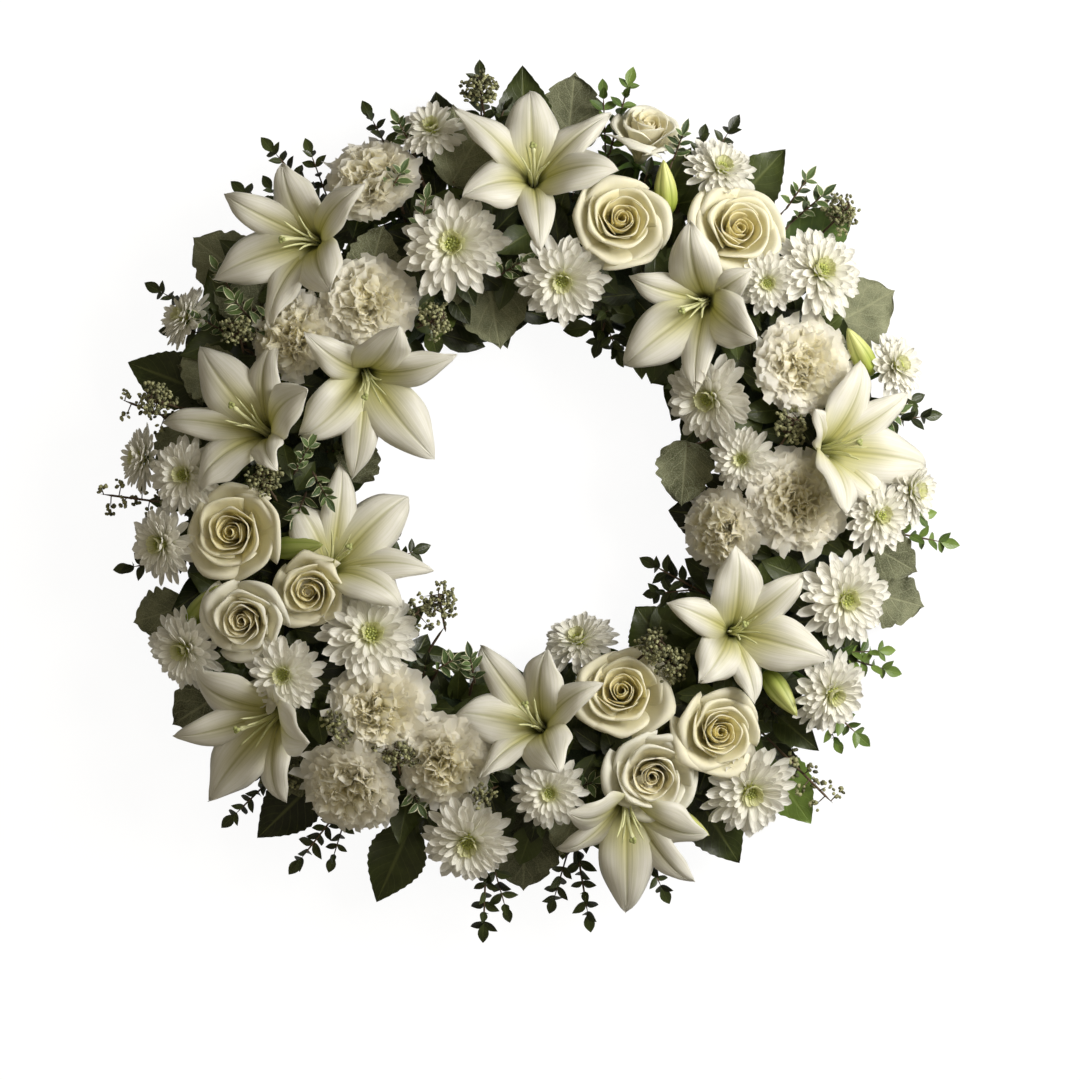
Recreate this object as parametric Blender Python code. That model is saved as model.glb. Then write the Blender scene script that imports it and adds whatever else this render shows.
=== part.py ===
"""Funeral wreath of white and cream flowers on a soaked foam ring, lying on its back.

The ring stands in a shallow plastic tray. Every bloom, spray and bunch of greens has a stem that is
pushed into the foam. Metres, +Z up, with the ring's axis on Z and the tray's underside at Z = 0.
"""

import math
import random

import bmesh
import bpy
from mathutils import Matrix, Vector
from mathutils.bvhtree import BVHTree

MM = 0.001

# The tray and the foam ring that carry everything
RING_STEPS = 24
TRAY_INNER_R = 143 * MM
TRAY_OUTER_R = 232 * MM
TRAY_WALL = 3 * MM
TRAY_HEIGHT = 14 * MM
FOAM_GAP = 0.4 * MM
FOAM_TOP = 52 * MM
FOAM_SHOULDER = 12 * MM
FOAM_INNER_R = TRAY_INNER_R + TRAY_WALL + FOAM_GAP
FOAM_OUTER_R = TRAY_OUTER_R - TRAY_WALL - FOAM_GAP

# The rounded mound that the faces of the flowers lie on, as a section across the ring
MOUND_R = 190 * MM
MOUND_OUT = 105 * MM
MOUND_IN = 90 * MM
MOUND_LOW = 40 * MM
MOUND_RISE = 58 * MM
MOUND_EDGE = 0.97

# Stems, and the free play that every piece keeps to its neighbours
STEM_R = 2.2 * MM
STEM_SIDES = 4
STEM_IN_HEAD = 4 * MM
STEM_IN_FOAM = 14 * MM
SIDE_ENTRY_LOW = 27 * MM
SIDE_ENTRY_HIGH = 40 * MM
CLEARANCE = 0.45 * MM
OWN_GAP = 0.2 * MM
FLOOR_GAP = 1.5 * MM
HOLE_PLAY = 0.4 * MM
HOLE_WALL = 1.2 * MM
SWINGS = (0, 3, -3, 6, -6, 9, -9, 12, -12)

# A head's own sizes: how high its seen middle stands above its base, and above the mound
LILY_EYE = 20 * MM
ROSE_EYE = 40 * MM
CARNATION_EYE = 37 * MM
MUM_EYE = 15 * MM
LILY_LIFT = -8 * MM
ROSE_LIFT = 4 * MM
CARNATION_LIFT = 2 * MM
MUM_LIFT = 3 * MM

# Petals of a lily that lie under a neighbour, which bend down and not over it
PETALS_BELOW = {"lily_11": (1,)}
LILY_PETAL = 80 * MM
LILY_WIDE = 34 * MM
LILY_NARROW = 25 * MM
BUD_LENGTH = 40 * MM
BUD_R = 9 * MM
MUM_SIDES = 9
ROSE_ROOT = 3 * MM
PETAL_THICK = 1.0 * MM

# name: x, y of the throat in mm, lean, the way it leans and the first petal's angle in degrees,
# and where a bud on the same stalk shows
LILIES = {
    "lily_01": (-164, 189, 26, 170, 25, None),
    "lily_02": (3, 238, 24, 85, 35, None),
    "lily_03": (121, 140, 20, 212, 35, (98, 225)),
    "lily_04": (-199, 55, 34, 145, 5, None),
    "lily_05": (-116, 84, 26, 290, 20, None),
    "lily_06": (-139, -41, 33, 60, 40, (-169, -33)),
    "lily_07": (224, 38, 38, 8, 35, (240, 107)),
    "lily_08": (151, -94, 14, 12, 40, (180, -138)),
    "lily_09": (1, -158, 28, 136, 5, None),
    "lily_10": (-192, -160, 43, 212, 5, None),
    "lily_11": (70, -230, 42, 273, 20, (109, -234)),
}

# name: x, y, radius in mm, lean and the way it leans in degrees
ROSES = {
    "rose_01": (86, 272, 27, 50, 75),
    "rose_02": (66, 202, 34, 12, 60),
    "rose_03": (151, 196, 34, 20, 50),
    "rose_04": (-215, -23, 35, 15, 180),
    "rose_05": (-159, -66, 26, 12, 235),
    "rose_06": (-207, -87, 30, 15, 215),
    "rose_07": (66, -137, 34, 15, 110),
    "rose_08": (137, -167, 31, 15, 10),
    "rose_09": (88, -199, 33, 10, 280),
}
CARNATIONS = {
    "carnation_01": (-119, 241, 33, 35, 116),
    "carnation_02": (-117, 145, 34, 8, 100),
    "carnation_03": (-173, 122, 29, 15, 145),
    "carnation_04": (200, 99, 34, 12, 26),
    "carnation_05": (194, -1, 37, 5, 0),
    "carnation_06": (128, -23, 29, 42, 190),
    "carnation_07": (-108, -150, 36, 6, 60),
    "carnation_08": (-63, -193, 33, 15, 250),
    "carnation_09": (-136, -215, 36, 35, 237),
}

# Chrysanthemum sprays: every spray is one stalk with the heads listed, each as a rose's row
MUM_SPRAYS = {
    "mum_spray_01": ((-72, 272, 27, 35, 105), (-56, 184, 41, 5, 105)),
    "mum_spray_02": ((23, 157, 35, 20, 270),),
    "mum_spray_03": ((140, 243, 30, 40, 60),),
    "mum_spray_04": ((212, 167, 37, 32, 38), (171, 156, 25, 12, 300)),
    "mum_spray_05": ((270, 99, 22, 62, 20),),
    "mum_spray_06": ((127, 72, 37, 35, 210), (152, 29, 25, 15, 190)),
    "mum_spray_07": ((254, -11, 30, 30, 355), (282, 7, 28, 55, 0)),
    "mum_spray_08": ((229, -72, 36, 20, 342), (220, -141, 32, 35, 327)),
    "mum_spray_09": ((160, -212, 37, 27, 307),),
    "mum_spray_10": ((14, -211, 28, 6, 270), (-45, -248, 36, 26, 260)),
    "mum_spray_11": ((34, -99, 30, 50, 109),),
    "mum_spray_12": ((-114, -96, 38, 15, 40), (-178, -126, 31, 10, 215)),
    "mum_spray_13": ((-253, -109, 32, 36, 203), (-270, -32, 31, 40, 187)),
    "mum_spray_14": ((-251, 18, 30, 20, 176), (-288, 31, 26, 68, 174)),
    "mum_spray_15": ((-256, 135, 26, 62, 152),),
}

# Greens on a branch that follows the outer or the inner edge: angle in degrees, reach of the tip
# in mm from the axis, height of the tip in mm
OUTER_GREENS = {
    "greens_outer_1": (
        ("leaf", 42, 320, 50), ("leaf", 54, 318, 44), ("twig", 61, 320, 50), ("twig", 76, 325, 50),
        ("leaf", 91, 318, 48), ("twig", 96, 323, 52), ("leaf", 103, 309, 46), ("twig", 112, 317, 48),
    ),
    "greens_outer_2": (
        ("twig", 126, 330, 50), ("twig", 133, 320, 46), ("twig", 151, 324, 44),
        ("leaf", 161, 314, 40), ("seeds", 166, 312, 52), ("seeds", 179, 320, 42),
    ),
    "greens_outer_3": (
        ("twig", 190, 310, 40), ("twig", 226, 330, 36), ("leaf", 231, 320, 34),
        ("twig", 237, 326, 40), ("leaf", 249, 317, 34),
    ),
    "greens_outer_4": (
        ("twig", 263, 326, 40), ("twig", 277, 320, 36), ("twig", 288, 314, 34),
        ("leaf", 300, 310, 34), ("leaf", 311, 316, 38), ("seeds", 315, 318, 50),
    ),
    "greens_outer_5": (
        ("twig", 325, 308, 40), ("twig", 334, 302, 36), ("twig", 354, 316, 44), ("twig", 12, 308, 46),
    ),
}
INNER_GREENS = {
    "greens_inner_1": (
        ("leaf", -45, 110, 42), ("twig", -30, 91, 46), ("leaf", -4, 102, 44), ("leaf", 44, 124, 40),
        ("twig", 68, 114, 44),
    ),
    "greens_inner_2": (("leaf", 168, 122, 40), ("twig", 202, 80, 42), ("seeds", 225, 102, 44)),
}

# Dusty miller: each is one stalk with the leaves listed: angle, reach and height as above, width in mm
DUSTY_MILLER = {
    "dusty_miller_1": ((84, 318, 40, 54), (101, 290, 74, 44)),
    "dusty_miller_2": ((30, 313, 30, 58),),
    "dusty_miller_3": ((-15, 304, 24, 48),),
    "dusty_miller_4": ((-91, 292, 22, 58),),
    "dusty_miller_5": ((-148, 315, 22, 54), (-163, 309, 22, 40)),
    "dusty_miller_6": ((142, 316, 38, 52), (159, 276, 52, 44)),
    "dusty_miller_7": ((101, 116, 52, 56),),
}

RUNNER_OUTER_R = 237 * MM
RUNNER_INNER_R = 138 * MM
RUNNER_Z = 19 * MM
RUNNER_STEP = 16
RUNNER_THICK = 1.7 * MM
TWIG_THICK = 0.9 * MM
LEAF_THICK = 0.6 * MM
SEED_COUNT = 5

COLOURS = {
    "white_petal": ((0.86, 0.85, 0.80), 0.55),
    "cream_petal": ((0.88, 0.84, 0.62), 0.55),
    "ivory_petal": ((0.84, 0.80, 0.69), 0.60),
    "bright_petal": ((0.88, 0.88, 0.86), 0.55),
    "dark_leaf": ((0.07, 0.13, 0.05), 0.45),
    "silver_leaf": ((0.33, 0.38, 0.32), 0.85),
    "foam": ((0.06, 0.16, 0.08), 0.90),
    "tray": ((0.03, 0.06, 0.04), 0.40),
}

rng = random.Random(11)
placed = {}
heads = {}
stem_cutters = []


def clear_scene():
    for obj in list(bpy.data.objects):
        bpy.data.objects.remove(obj)


def new_collection(name):
    made = bpy.data.collections.new(name)
    bpy.context.scene.collection.children.link(made)
    return made


def material(name):
    """One Principled material for each finish, made when it is first asked for."""
    found = bpy.data.materials.get(name)
    if found:
        return found
    colour, roughness = COLOURS[name]
    made = bpy.data.materials.new(name)
    made.use_nodes = True
    shader = made.node_tree.nodes["Principled BSDF"]
    shader.inputs["Base Color"].default_value = (*colour, 1)
    shader.inputs["Roughness"].default_value = roughness
    shader.inputs["Metallic"].default_value = 0
    return made


def polar(radius, degrees, height):
    """The point at this distance from the ring's axis, this angle and this height."""
    angle = math.radians(degrees)
    return Vector((radius * math.cos(angle), radius * math.sin(angle), height))


def leaning(lean, toward):
    """The direction that leans this far from straight up, towards this angle."""
    tilt = math.radians(lean)
    return polar(math.sin(tilt), toward, math.cos(tilt))


def mound_point(x, y):
    """The point of the mound that lies over this place of the plan, given in mm."""
    radius = math.hypot(x, y) * MM
    half = MOUND_OUT if radius > MOUND_R else MOUND_IN
    share = min(MOUND_EDGE, abs(radius - MOUND_R) / half)
    return Vector((x * MM, y * MM, MOUND_LOW + MOUND_RISE * math.sqrt(1 - share * share)))


def frame_at(base, axis):
    """The matrix that carries a head made round +Z to this base, facing along this axis."""
    turn = Vector((0, 0, 1)).rotation_difference(axis)
    return Matrix.Translation(base) @ turn.to_matrix().to_4x4()


def split(piece, faces):
    """Cuts faces into triangles, always by the same corners, so that tests and solids agree."""
    bmesh.ops.triangulate(piece, faces=list(faces), quad_method="FIXED")
    return piece


def lens_blade(meridians, stations, shape):
    """A closed blade with edges as thin as a lens, from a small sphere.

    Its poles become the root and the tip. shape(along, across, up) gives each vertex's place, with
    along from 0 to 1 and across and up from -1 to 1.
    """
    blade = bmesh.new()
    bmesh.ops.create_uvsphere(blade, u_segments=meridians, v_segments=stations + 1, radius=1)
    for vert in blade.verts:
        along = math.acos(max(-1, min(1, vert.co.z))) / math.pi
        ring = math.hypot(vert.co.x, vert.co.y)
        across = vert.co.x / ring if ring > 1e-4 else 0
        up = vert.co.y / ring if ring > 1e-4 else 0
        vert.co = shape(along, across, up)
    bmesh.ops.recalc_face_normals(blade, faces=blade.faces)
    if blade.calc_volume(signed=True) < 0:
        bmesh.ops.reverse_faces(blade, faces=blade.faces)
    return split(blade, blade.faces)


def cored_head(matrix, cuts, low, rings, high):
    """A core with one corner at each angle in cuts, and its side faces by level and sector.

    low and high are the places of its two ends, and rings the radii and heights between them.
    """
    head = bmesh.new()
    count = len(cuts)
    levels = [[head.verts.new(matrix @ polar(radius, cut, height)) for cut in cuts] for radius, height in rings]
    ends = [head.verts.new(matrix @ place) for place in (low, high)]
    sides = []
    for below, above in zip(levels, levels[1:]):
        sides.append([
            head.faces.new((below[i], below[(i + 1) % count], above[(i + 1) % count], above[i]))
            for i in range(count)
        ])
    for i in range(count):
        head.faces.new((ends[0], levels[0][(i + 1) % count], levels[0][i]))
        head.faces.new((ends[1], levels[-1][i], levels[-1][(i + 1) % count]))
    return head, sides


def section(matrix, angle, radius, height, slope, half, thick, limit=1.2, drop=0):
    """The four corners of a petal's cross section, curled round the head's axis."""
    tilt = math.radians(slope)
    swing = math.degrees(min(half / radius, limit))
    corners = []
    for side, up in ((-1, -1), (1, -1), (1, 1), (-1, 1)):
        offset = up * thick - drop
        reach = radius - offset * math.cos(tilt)
        corners.append(matrix @ polar(reach, angle + side * swing, height + offset * math.sin(tilt)))
    return corners


def grow(body, ring, sections, tip):
    """Draws a ring of four corners out through the sections to a point; gives the new side faces."""
    sides = []
    for corners in sections:
        following = [body.verts.new(place) for place in corners]
        sides.append([
            body.faces.new((ring[i], ring[(i + 1) % 4], following[(i + 1) % 4], following[i]))
            for i in range(4)
        ])
        ring = following
    end = body.verts.new(tip)
    for i in range(4):
        body.faces.new((ring[i], ring[(i + 1) % 4], end))
    return sides


def closed_blade(corners, sections, tip):
    """A blade of its own from four root corners through the sections to its tip."""
    blade = bmesh.new()
    ring = [blade.verts.new(place) for place in corners]
    blade.faces.new(ring[::-1])
    sides = grow(blade, ring, sections, tip)
    return blade, sides


def bar(start, end, radius, sides=STEM_SIDES, end_radius=None):
    """A straight round bar between two points, with flat ends."""
    made = bmesh.new()
    run = end - start
    bmesh.ops.create_cone(
        made, cap_ends=True, segments=sides, radius1=radius,
        radius2=radius if end_radius is None else end_radius, depth=run.length,
    )
    turn = run.to_track_quat("Z", "Y").to_matrix().to_4x4()
    bmesh.ops.transform(made, matrix=Matrix.Translation((start + end) / 2) @ turn, verts=made.verts)
    return made


def grown(source, by):
    """A copy of a piece, thicker by this much all round."""
    copy = source.copy()
    copy.normal_update()
    moves = [vert.normal * by for vert in copy.verts]
    for vert, move in zip(copy.verts, moves):
        vert.co += move
    return copy


def ball_round(piece):
    """Centre and radius of a ball that holds the piece."""
    centre = sum((vert.co for vert in piece.verts), Vector()) / len(piece.verts)
    return centre, max((vert.co - centre).length for vert in piece.verts)


def hit_faces(piece, name, gap=CLEARANCE, beside=()):
    """The faces of the piece that come too near what other nodes already hold."""
    wide = grown(piece, gap)
    tree = BVHTree.FromBMesh(wide)
    centre, radius = ball_round(wide)
    wide.free()
    found = set()
    for other, pieces in placed.items():
        if other == name or other in beside:
            continue
        for other_tree, other_centre, other_radius in pieces:
            if (centre - other_centre).length < radius + other_radius:
                found.update(pair[0] for pair in tree.overlap(other_tree))
    return found


def keep(piece, name, parts):
    """Takes the piece into the node's parts, so that later pieces stay clear of it."""
    centre, radius = ball_round(piece)
    placed.setdefault(name, []).append((BVHTree.FromBMesh(piece), centre, radius))
    parts.append(piece)


def keep_clear(piece, name, parts):
    """Keeps a piece and names it where it touches another node, which its row then has to mend."""
    if hit_faces(piece, name):
        print(name, "has a core or a branch that touches another node")
    keep(piece, name, parts)


def place_bent_clear(make, name, parts, bends, sizes=(1, 0.86, 0.72, 0.58, 0.44)):
    """Keeps the largest blade that make(bend, size) can give without touching another node."""
    for size in sizes:
        for bend in bends:
            piece = make(bend, size)
            if not blocked(piece, name):
                keep(piece, name, parts)
                return True
            piece.free()
    return False


def blocked(piece, name):
    """Whether a piece would touch another node or the surface the wreath lies on."""
    return min(vert.co.z for vert in piece.verts) < FLOOR_GAP or bool(hit_faces(piece, name))


def draw_petal(head, face, make, name, own, bends, sizes=(1, 0.88, 0.76, 0.64, 0.52, 0.4)):
    """Draws one side face of a core out into the largest petal that stays clear of everything."""
    ring = list(face.verts)
    corners = [vert.co.copy() for vert in ring]
    for size in sizes:
        for bend in bends:
            sections, tip = make(bend, size)
            whole, free = closed_blade(corners, sections, tip)[0], closed_blade(sections[0], sections[1:], tip)[0]
            split(whole, whole.faces)
            split(free, free.faces)
            tree = BVHTree.FromBMesh(grown(free, OWN_GAP))
            if not blocked(whole, name) and not any(tree.overlap(other) for other in own):
                head.faces.remove(face)
                split(head, [side for group in grow(head, ring, sections, tip) for side in group])
                own.append(BVHTree.FromBMesh(free))
                keep(whole, name, [])
                return True
            whole.free()
            free.free()
    print(name, "lacks one petal")
    return False


def draw_back(piece, name, home, steps=14, share=0.12):
    """Moves the corners that touch another node towards home, until the piece is clear."""
    for _ in range(steps):
        hit = hit_faces(piece, name)
        if not hit:
            return True
        piece.faces.ensure_lookup_table()
        for vert in {vert for index in hit for vert in piece.faces[index].verts}:
            vert.co = vert.co.lerp(home(vert.co), share)
    return not hit_faces(piece, name)


def spine(along, length, start, end):
    """Radius and height of a petal's middle line, whose angle to the axis runs from start to end."""
    first, last = math.radians(start), math.radians(end)
    turn = last - first
    if abs(turn) < 1e-3:
        return length * along * math.sin(first), length * along * math.cos(first)
    now = first + turn * along
    return (
        length * (math.cos(first) - math.cos(now)) / turn,
        length * (math.sin(now) - math.sin(first)) / turn,
    )


def foam_target(base, swing=0):
    """The end of a stem inside the foam, for a head with this base."""
    radius = math.hypot(base.x, base.y)
    angle = math.degrees(math.atan2(base.y, base.x)) + swing
    low, high = FOAM_INNER_R + STEM_IN_FOAM, FOAM_OUTER_R - STEM_IN_FOAM
    if FOAM_INNER_R - 2 * MM < radius < FOAM_OUTER_R + 2 * MM:
        return polar(max(low, min(high, radius)), angle, FOAM_TOP - STEM_IN_FOAM)
    height = max(SIDE_ENTRY_LOW, min(SIDE_ENTRY_HIGH, base.z - 12 * MM))
    return polar(high if radius > MOUND_R else low, angle, height)


def add_stem(name, parts, start, base, radius=STEM_R):
    """A stem from inside a head down into the foam, and the cutter for its hole.

    It swings a little round the ring where its straight way would cross another stem.
    """
    for swing in SWINGS:
        end = foam_target(base, swing)
        stem = bar(start, end, radius)
        if not hit_faces(stem, name, HOLE_WALL, ("foam_ring",)):
            break
    else:
        print(name, "has a stem that crosses another")
    keep(stem, name, parts)
    beyond = end + (end - start).normalized() * HOLE_PLAY
    stem_cutters.append(bar(start, beyond, radius + HOLE_PLAY))
    return end


def head_frame(row_x, row_y, lean, toward, eye, lift):
    """The matrix of a head whose seen middle lies over x, y."""
    axis = leaning(lean, toward)
    return frame_at(mound_point(row_x, row_y) + axis * (lift - eye), axis), axis


def stand(name, parts, matrix, axis):
    """Gives a head its stem, straight from its base into the foam."""
    return add_stem(name, parts, matrix.translation + axis * STEM_IN_HEAD, matrix.translation)


def core(matrix, profile, sides):
    """A turned core: a small sphere whose rings take the radii and heights of the profile."""
    made = bmesh.new()
    rings = len(profile) - 2
    bmesh.ops.create_uvsphere(made, u_segments=sides, v_segments=rings + 1, radius=1)
    for vert in made.verts:
        index = round(math.acos(max(-1, min(1, vert.co.z))) / math.pi * (rings + 1))
        radius, height = profile[index]
        angle = math.atan2(vert.co.y, vert.co.x)
        vert.co = Vector((radius * math.cos(angle), radius * math.sin(angle), height))
    bmesh.ops.transform(made, matrix=matrix, verts=made.verts)
    bmesh.ops.recalc_face_normals(made, faces=made.faces)
    return made


def lily_head(matrix, turn, toward):
    """The green throat and the style of a lily, as one core with a side face for each petal."""
    cuts = [turn + 60 * index - 30 for index in range(6)]
    rings = ((4.5 * MM, 1 * MM), (6 * MM, 5 * MM), (6.5 * MM, 10 * MM), (1.6 * MM, 8 * MM))
    return cored_head(matrix, cuts, Vector((0, 0, -2 * MM)), rings, leaning(9, toward) * 50 * MM)


def lily_petal(matrix, angle, inner, bend, size):
    """The sections and the tip of one petal, which rises from the throat and rolls back."""
    length = LILY_PETAL * size
    half = (LILY_WIDE if inner else LILY_NARROW) / 2 * (0.4 + 0.6 * size)
    sections = []
    for along in ((0.26, 0.52, 0.8) if inner else (0.38, 0.74)):
        radius, height = spine(along, length, 22, 100 + bend)
        slope = 22 + (78 + bend) * along
        width = half * math.sin(math.pi * along ** 0.95) ** 0.7
        sections.append(section(
            matrix, angle, radius + 3 * MM, height + 6 * MM, slope, width, PETAL_THICK,
            0.60 if inner else 0.50, 0 if inner else 2.9 * MM,
        ))
    radius, height = spine(1, length, 22, 100 + bend)
    tip = matrix @ polar(radius + 3 * MM, angle, height + (6 if inner else 3) * MM)
    return sections, tip


def lily_thread(matrix, angle, lean, length, thick):
    """A stamen or the style: a slim three-sided needle from the throat."""
    start = matrix @ Vector((0, 0, 6 * MM))
    end = matrix @ (leaning(lean, angle) * length + Vector((0, 0, 8 * MM)))
    return bar(start, end, thick, 3, thick * 0.6)


def lily_bud(start, tip):
    """A closed bud: a slim spindle with six flat sides along its run."""
    run = tip - start
    turn = run.to_track_quat("Z", "Y").to_matrix().to_4x4()
    length = run.length
    profile = ((0, 0), (BUD_R * 0.55, length * 0.12), (BUD_R, length * 0.5), (BUD_R * 0.5, length * 0.88), (0, length))
    return core(Matrix.Translation(start) @ turn, profile, 6)


def mum_head(matrix, radius, first):
    """The dense middle of a chrysanthemum, with a side face for each of its ray petals."""
    cuts = [first + 360 * step / MUM_SIDES for step in range(MUM_SIDES)]
    rings = ((radius * 0.27, 2 * MM), (radius * 0.31, 7 * MM), (radius * 0.22, 12 * MM))
    return cored_head(matrix, cuts, Vector((0, 0, -4 * MM)), rings, Vector((0, 0, 15 * MM)))


def mum_petal(matrix, angle, radius, root, pitch, bend, size, width):
    """The section and the tip of one ray petal: a spoon, broadest past its middle."""
    slope = pitch + bend
    tilt = math.radians(slope)
    start = radius * 0.28
    length = (radius - start) * size
    middle = 0.55 * length
    sections = [section(
        matrix, angle, start + middle * math.sin(tilt), root + middle * math.cos(tilt), slope,
        radius * width / 2, PETAL_THICK,
    )]
    droop = math.radians(slope + 14)
    rest = length - middle
    reach = start + middle * math.sin(tilt) + rest * math.sin(droop)
    return sections, matrix @ polar(reach, angle, root + middle * math.cos(tilt) + rest * math.cos(droop))


def carnation_head(matrix, radius, turn):
    """Three frilled tiers on a slim green cup, raised from one turned form by a formula.

    Every second corner of a tier's edge is pushed out and the next one is drawn in, as the
    toothed edge of the petals does.
    """
    sides = 14
    tiers = (
        (0, -8 * MM, 0, 0), (7 * MM, -5 * MM, 0, 0),
        (radius, 11 * MM, 0.11, 3 * MM), (radius * 0.60, 17 * MM, 0, 0),
        (radius * 0.84, 25 * MM, 0.13, 2.5 * MM), (radius * 0.42, 27 * MM, 0, 0),
        (radius * 0.52, 35 * MM, 0.2, 2.5 * MM), (0, 34 * MM, 0, 0),
    )
    made = bmesh.new()
    rings = len(tiers) - 2
    bmesh.ops.create_uvsphere(made, u_segments=sides, v_segments=rings + 1, radius=1)
    for vert in made.verts:
        index = len(tiers) - 1 - round(math.acos(max(-1, min(1, vert.co.z))) / math.pi * (rings + 1))
        reach, height, tooth, lift = tiers[index]
        angle = math.atan2(vert.co.y, vert.co.x)
        step = round(angle / math.tau * sides)
        side = 1 if step % 2 else -1
        wave = 1 + tooth * side + 0.5 * tooth * math.sin(5 * angle + index)
        shift = angle + turn + index * 0.17
        vert.co = Vector((
            reach * wave * math.cos(shift), reach * wave * math.sin(shift),
            height + lift * math.sin(3 * angle + index * 2),
        ))
    bmesh.ops.transform(made, matrix=matrix, verts=made.verts)
    bmesh.ops.triangulate(made, faces=made.faces)
    bmesh.ops.recalc_face_normals(made, faces=made.faces)
    return made


def rose_petal(matrix, angle, spread, belly, lip, top, bend, size):
    """One cupped petal that wraps round the bud, its leading edge outside its neighbour's."""
    height = top * (0.6 + 0.4 * size)
    turn = math.radians(angle)
    half = math.radians(spread) * size

    def shape(along, across, up):
        rise = along ** 0.6
        out = ROSE_ROOT + (belly - ROSE_ROOT) * math.sin(min(1, rise * 1.5) * math.pi / 2)
        out += (lip - belly + bend * MM) * max(0, rise - 0.55) / 0.45
        out += across * 1.8 * MM * min(1, 2 * rise) + up * 0.9 * MM
        round_angle = turn + across * half
        lower = 0.12 * height * across * across * rise
        lift = ROSE_ROOT + (height - ROSE_ROOT) * rise - lower
        return matrix @ Vector((out * math.cos(round_angle), out * math.sin(round_angle), lift))

    return lens_blade(4, 2, shape)


def boolean(target, operation, others, solver="EXACT"):
    """Applies one Boolean on a collection of other objects, and removes them."""
    helper = new_collection("helper")
    for obj in others:
        helper.objects.link(obj)
    modifier = target.modifiers.new("join", "BOOLEAN")
    modifier.operation = operation
    modifier.operand_type = "COLLECTION"
    modifier.collection = helper
    modifier.solver = solver
    bpy.context.view_layer.update()
    graph = bpy.context.evaluated_depsgraph_get()
    made = bpy.data.meshes.new_from_object(target.evaluated_get(graph))
    target.modifiers.remove(modifier)
    target.data = made
    for obj in others:
        bpy.data.objects.remove(obj)
    bpy.data.collections.remove(helper)


def largest_body(mesh):
    """Leaves only the mesh's largest connected body, so that no cut scrap stays loose."""
    whole = bmesh.new()
    whole.from_mesh(mesh)
    bmesh.ops.remove_doubles(whole, verts=whole.verts, dist=2e-6)
    bmesh.ops.dissolve_degenerate(whole, edges=whole.edges, dist=2e-6)
    bmesh.ops.triangulate(whole, faces=whole.faces)
    left = set(whole.faces)
    bodies = []
    while left:
        reached = [left.pop()]
        body = set(reached)
        while reached:
            for edge in reached.pop().edges:
                fresh = left.intersection(edge.link_faces)
                left -= fresh
                body |= fresh
                reached += fresh
        bodies.append(body)
    bodies.sort(key=lambda body: sum(face.calc_area() for face in body))
    for body in bodies[:-1]:
        if len(body) > 12:
            print(mesh.name, "lost a piece of", len(body), "triangles")
        bmesh.ops.delete(whole, geom=list(body), context="FACES")
    whole.to_mesh(mesh)
    whole.free()


def loose_object(piece, name):
    """An object for a piece, linked nowhere yet."""
    mesh = bpy.data.meshes.new(name)
    piece.to_mesh(mesh)
    piece.free()
    return bpy.data.objects.new(name, mesh)


def fuse(name, parts, finish, wreath):
    """Joins a node's pieces into one closed body, with its material."""
    body = loose_object(parts[0], name)
    wreath.objects.link(body)
    rest = [loose_object(piece, f"{name}_piece") for piece in parts[1:]]
    if rest:
        boolean(body, "UNION", rest)
    largest_body(body.data)
    body.data.materials.clear()
    body.data.materials.append(material(finish))
    return body


def turned_ring(name, profile):
    """A closed outline turned once round the ring's axis, which the flowers then stay clear of."""
    outline = bmesh.new()
    corners = [outline.verts.new((radius, 0, height)) for radius, height in profile]
    for first, second in zip(corners, corners[1:] + corners[:1]):
        outline.edges.new((first, second))
    bmesh.ops.spin(
        outline, geom=outline.verts[:] + outline.edges[:], axis=(0, 0, 1), cent=(0, 0, 0),
        angle=math.tau, steps=RING_STEPS, use_merge=True,
    )
    bmesh.ops.recalc_face_normals(outline, faces=outline.faces)
    keep(outline, name, [])
    return outline


def build_tray(wreath):
    """The shallow plastic tray under the foam, with a low wall at each edge."""
    inner, outer, wall = TRAY_INNER_R, TRAY_OUTER_R, TRAY_WALL
    profile = (
        (outer, 0), (outer, TRAY_HEIGHT), (outer - wall, TRAY_HEIGHT), (outer - wall, wall),
        (inner + wall, wall), (inner + wall, TRAY_HEIGHT), (inner, TRAY_HEIGHT), (inner, 0),
    )
    fuse("base_tray", [turned_ring("base_tray", profile)], "tray", wreath)


def turn_foam():
    """The ring of floral foam, before its holes."""
    inner, outer, cut = FOAM_INNER_R, FOAM_OUTER_R, FOAM_SHOULDER
    bottom = TRAY_WALL + FOAM_GAP
    profile = (
        (outer, bottom), (outer, FOAM_TOP - cut), (outer - cut, FOAM_TOP),
        (inner + cut, FOAM_TOP), (inner, FOAM_TOP - cut), (inner, bottom),
    )
    return turned_ring("foam_ring", profile)


def build_foam(ring, wreath):
    """The floral foam, with a plain hole for every stem."""
    foam = fuse("foam_ring", [ring], "foam", wreath)
    boolean(foam, "DIFFERENCE", [loose_object(cutter, "hole") for cutter in stem_cutters])
    largest_body(foam.data)
    foam.data.materials.append(material("foam"))


def plan_lilies(nodes):
    """Throats, styles, stems and buds of the lilies."""
    for name, (x, y, lean, toward, turn, bud) in LILIES.items():
        parts = nodes.setdefault(name, [])
        matrix, axis = head_frame(x, y, lean, toward, LILY_EYE, LILY_LIFT)
        head, sides = lily_head(matrix, turn, toward)
        keep_clear(head, name, parts)
        heads[name] = [(matrix, sides)]
        foot_in_foam = stand(name, parts, matrix, axis)
        if bud:
            seat = mound_point(*bud) - Vector((0, 0, 26 * MM))
            tip = seat + leaning(22, math.degrees(math.atan2(bud[1], bud[0]))) * BUD_LENGTH
            foot = matrix.translation.lerp(foot_in_foam, 0.45)
            keep_clear(lily_bud(seat, tip), name, parts)
            keep_clear(bar(foot, seat.lerp(tip, 0.25), 1.6 * MM, 4), name, parts)


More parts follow.
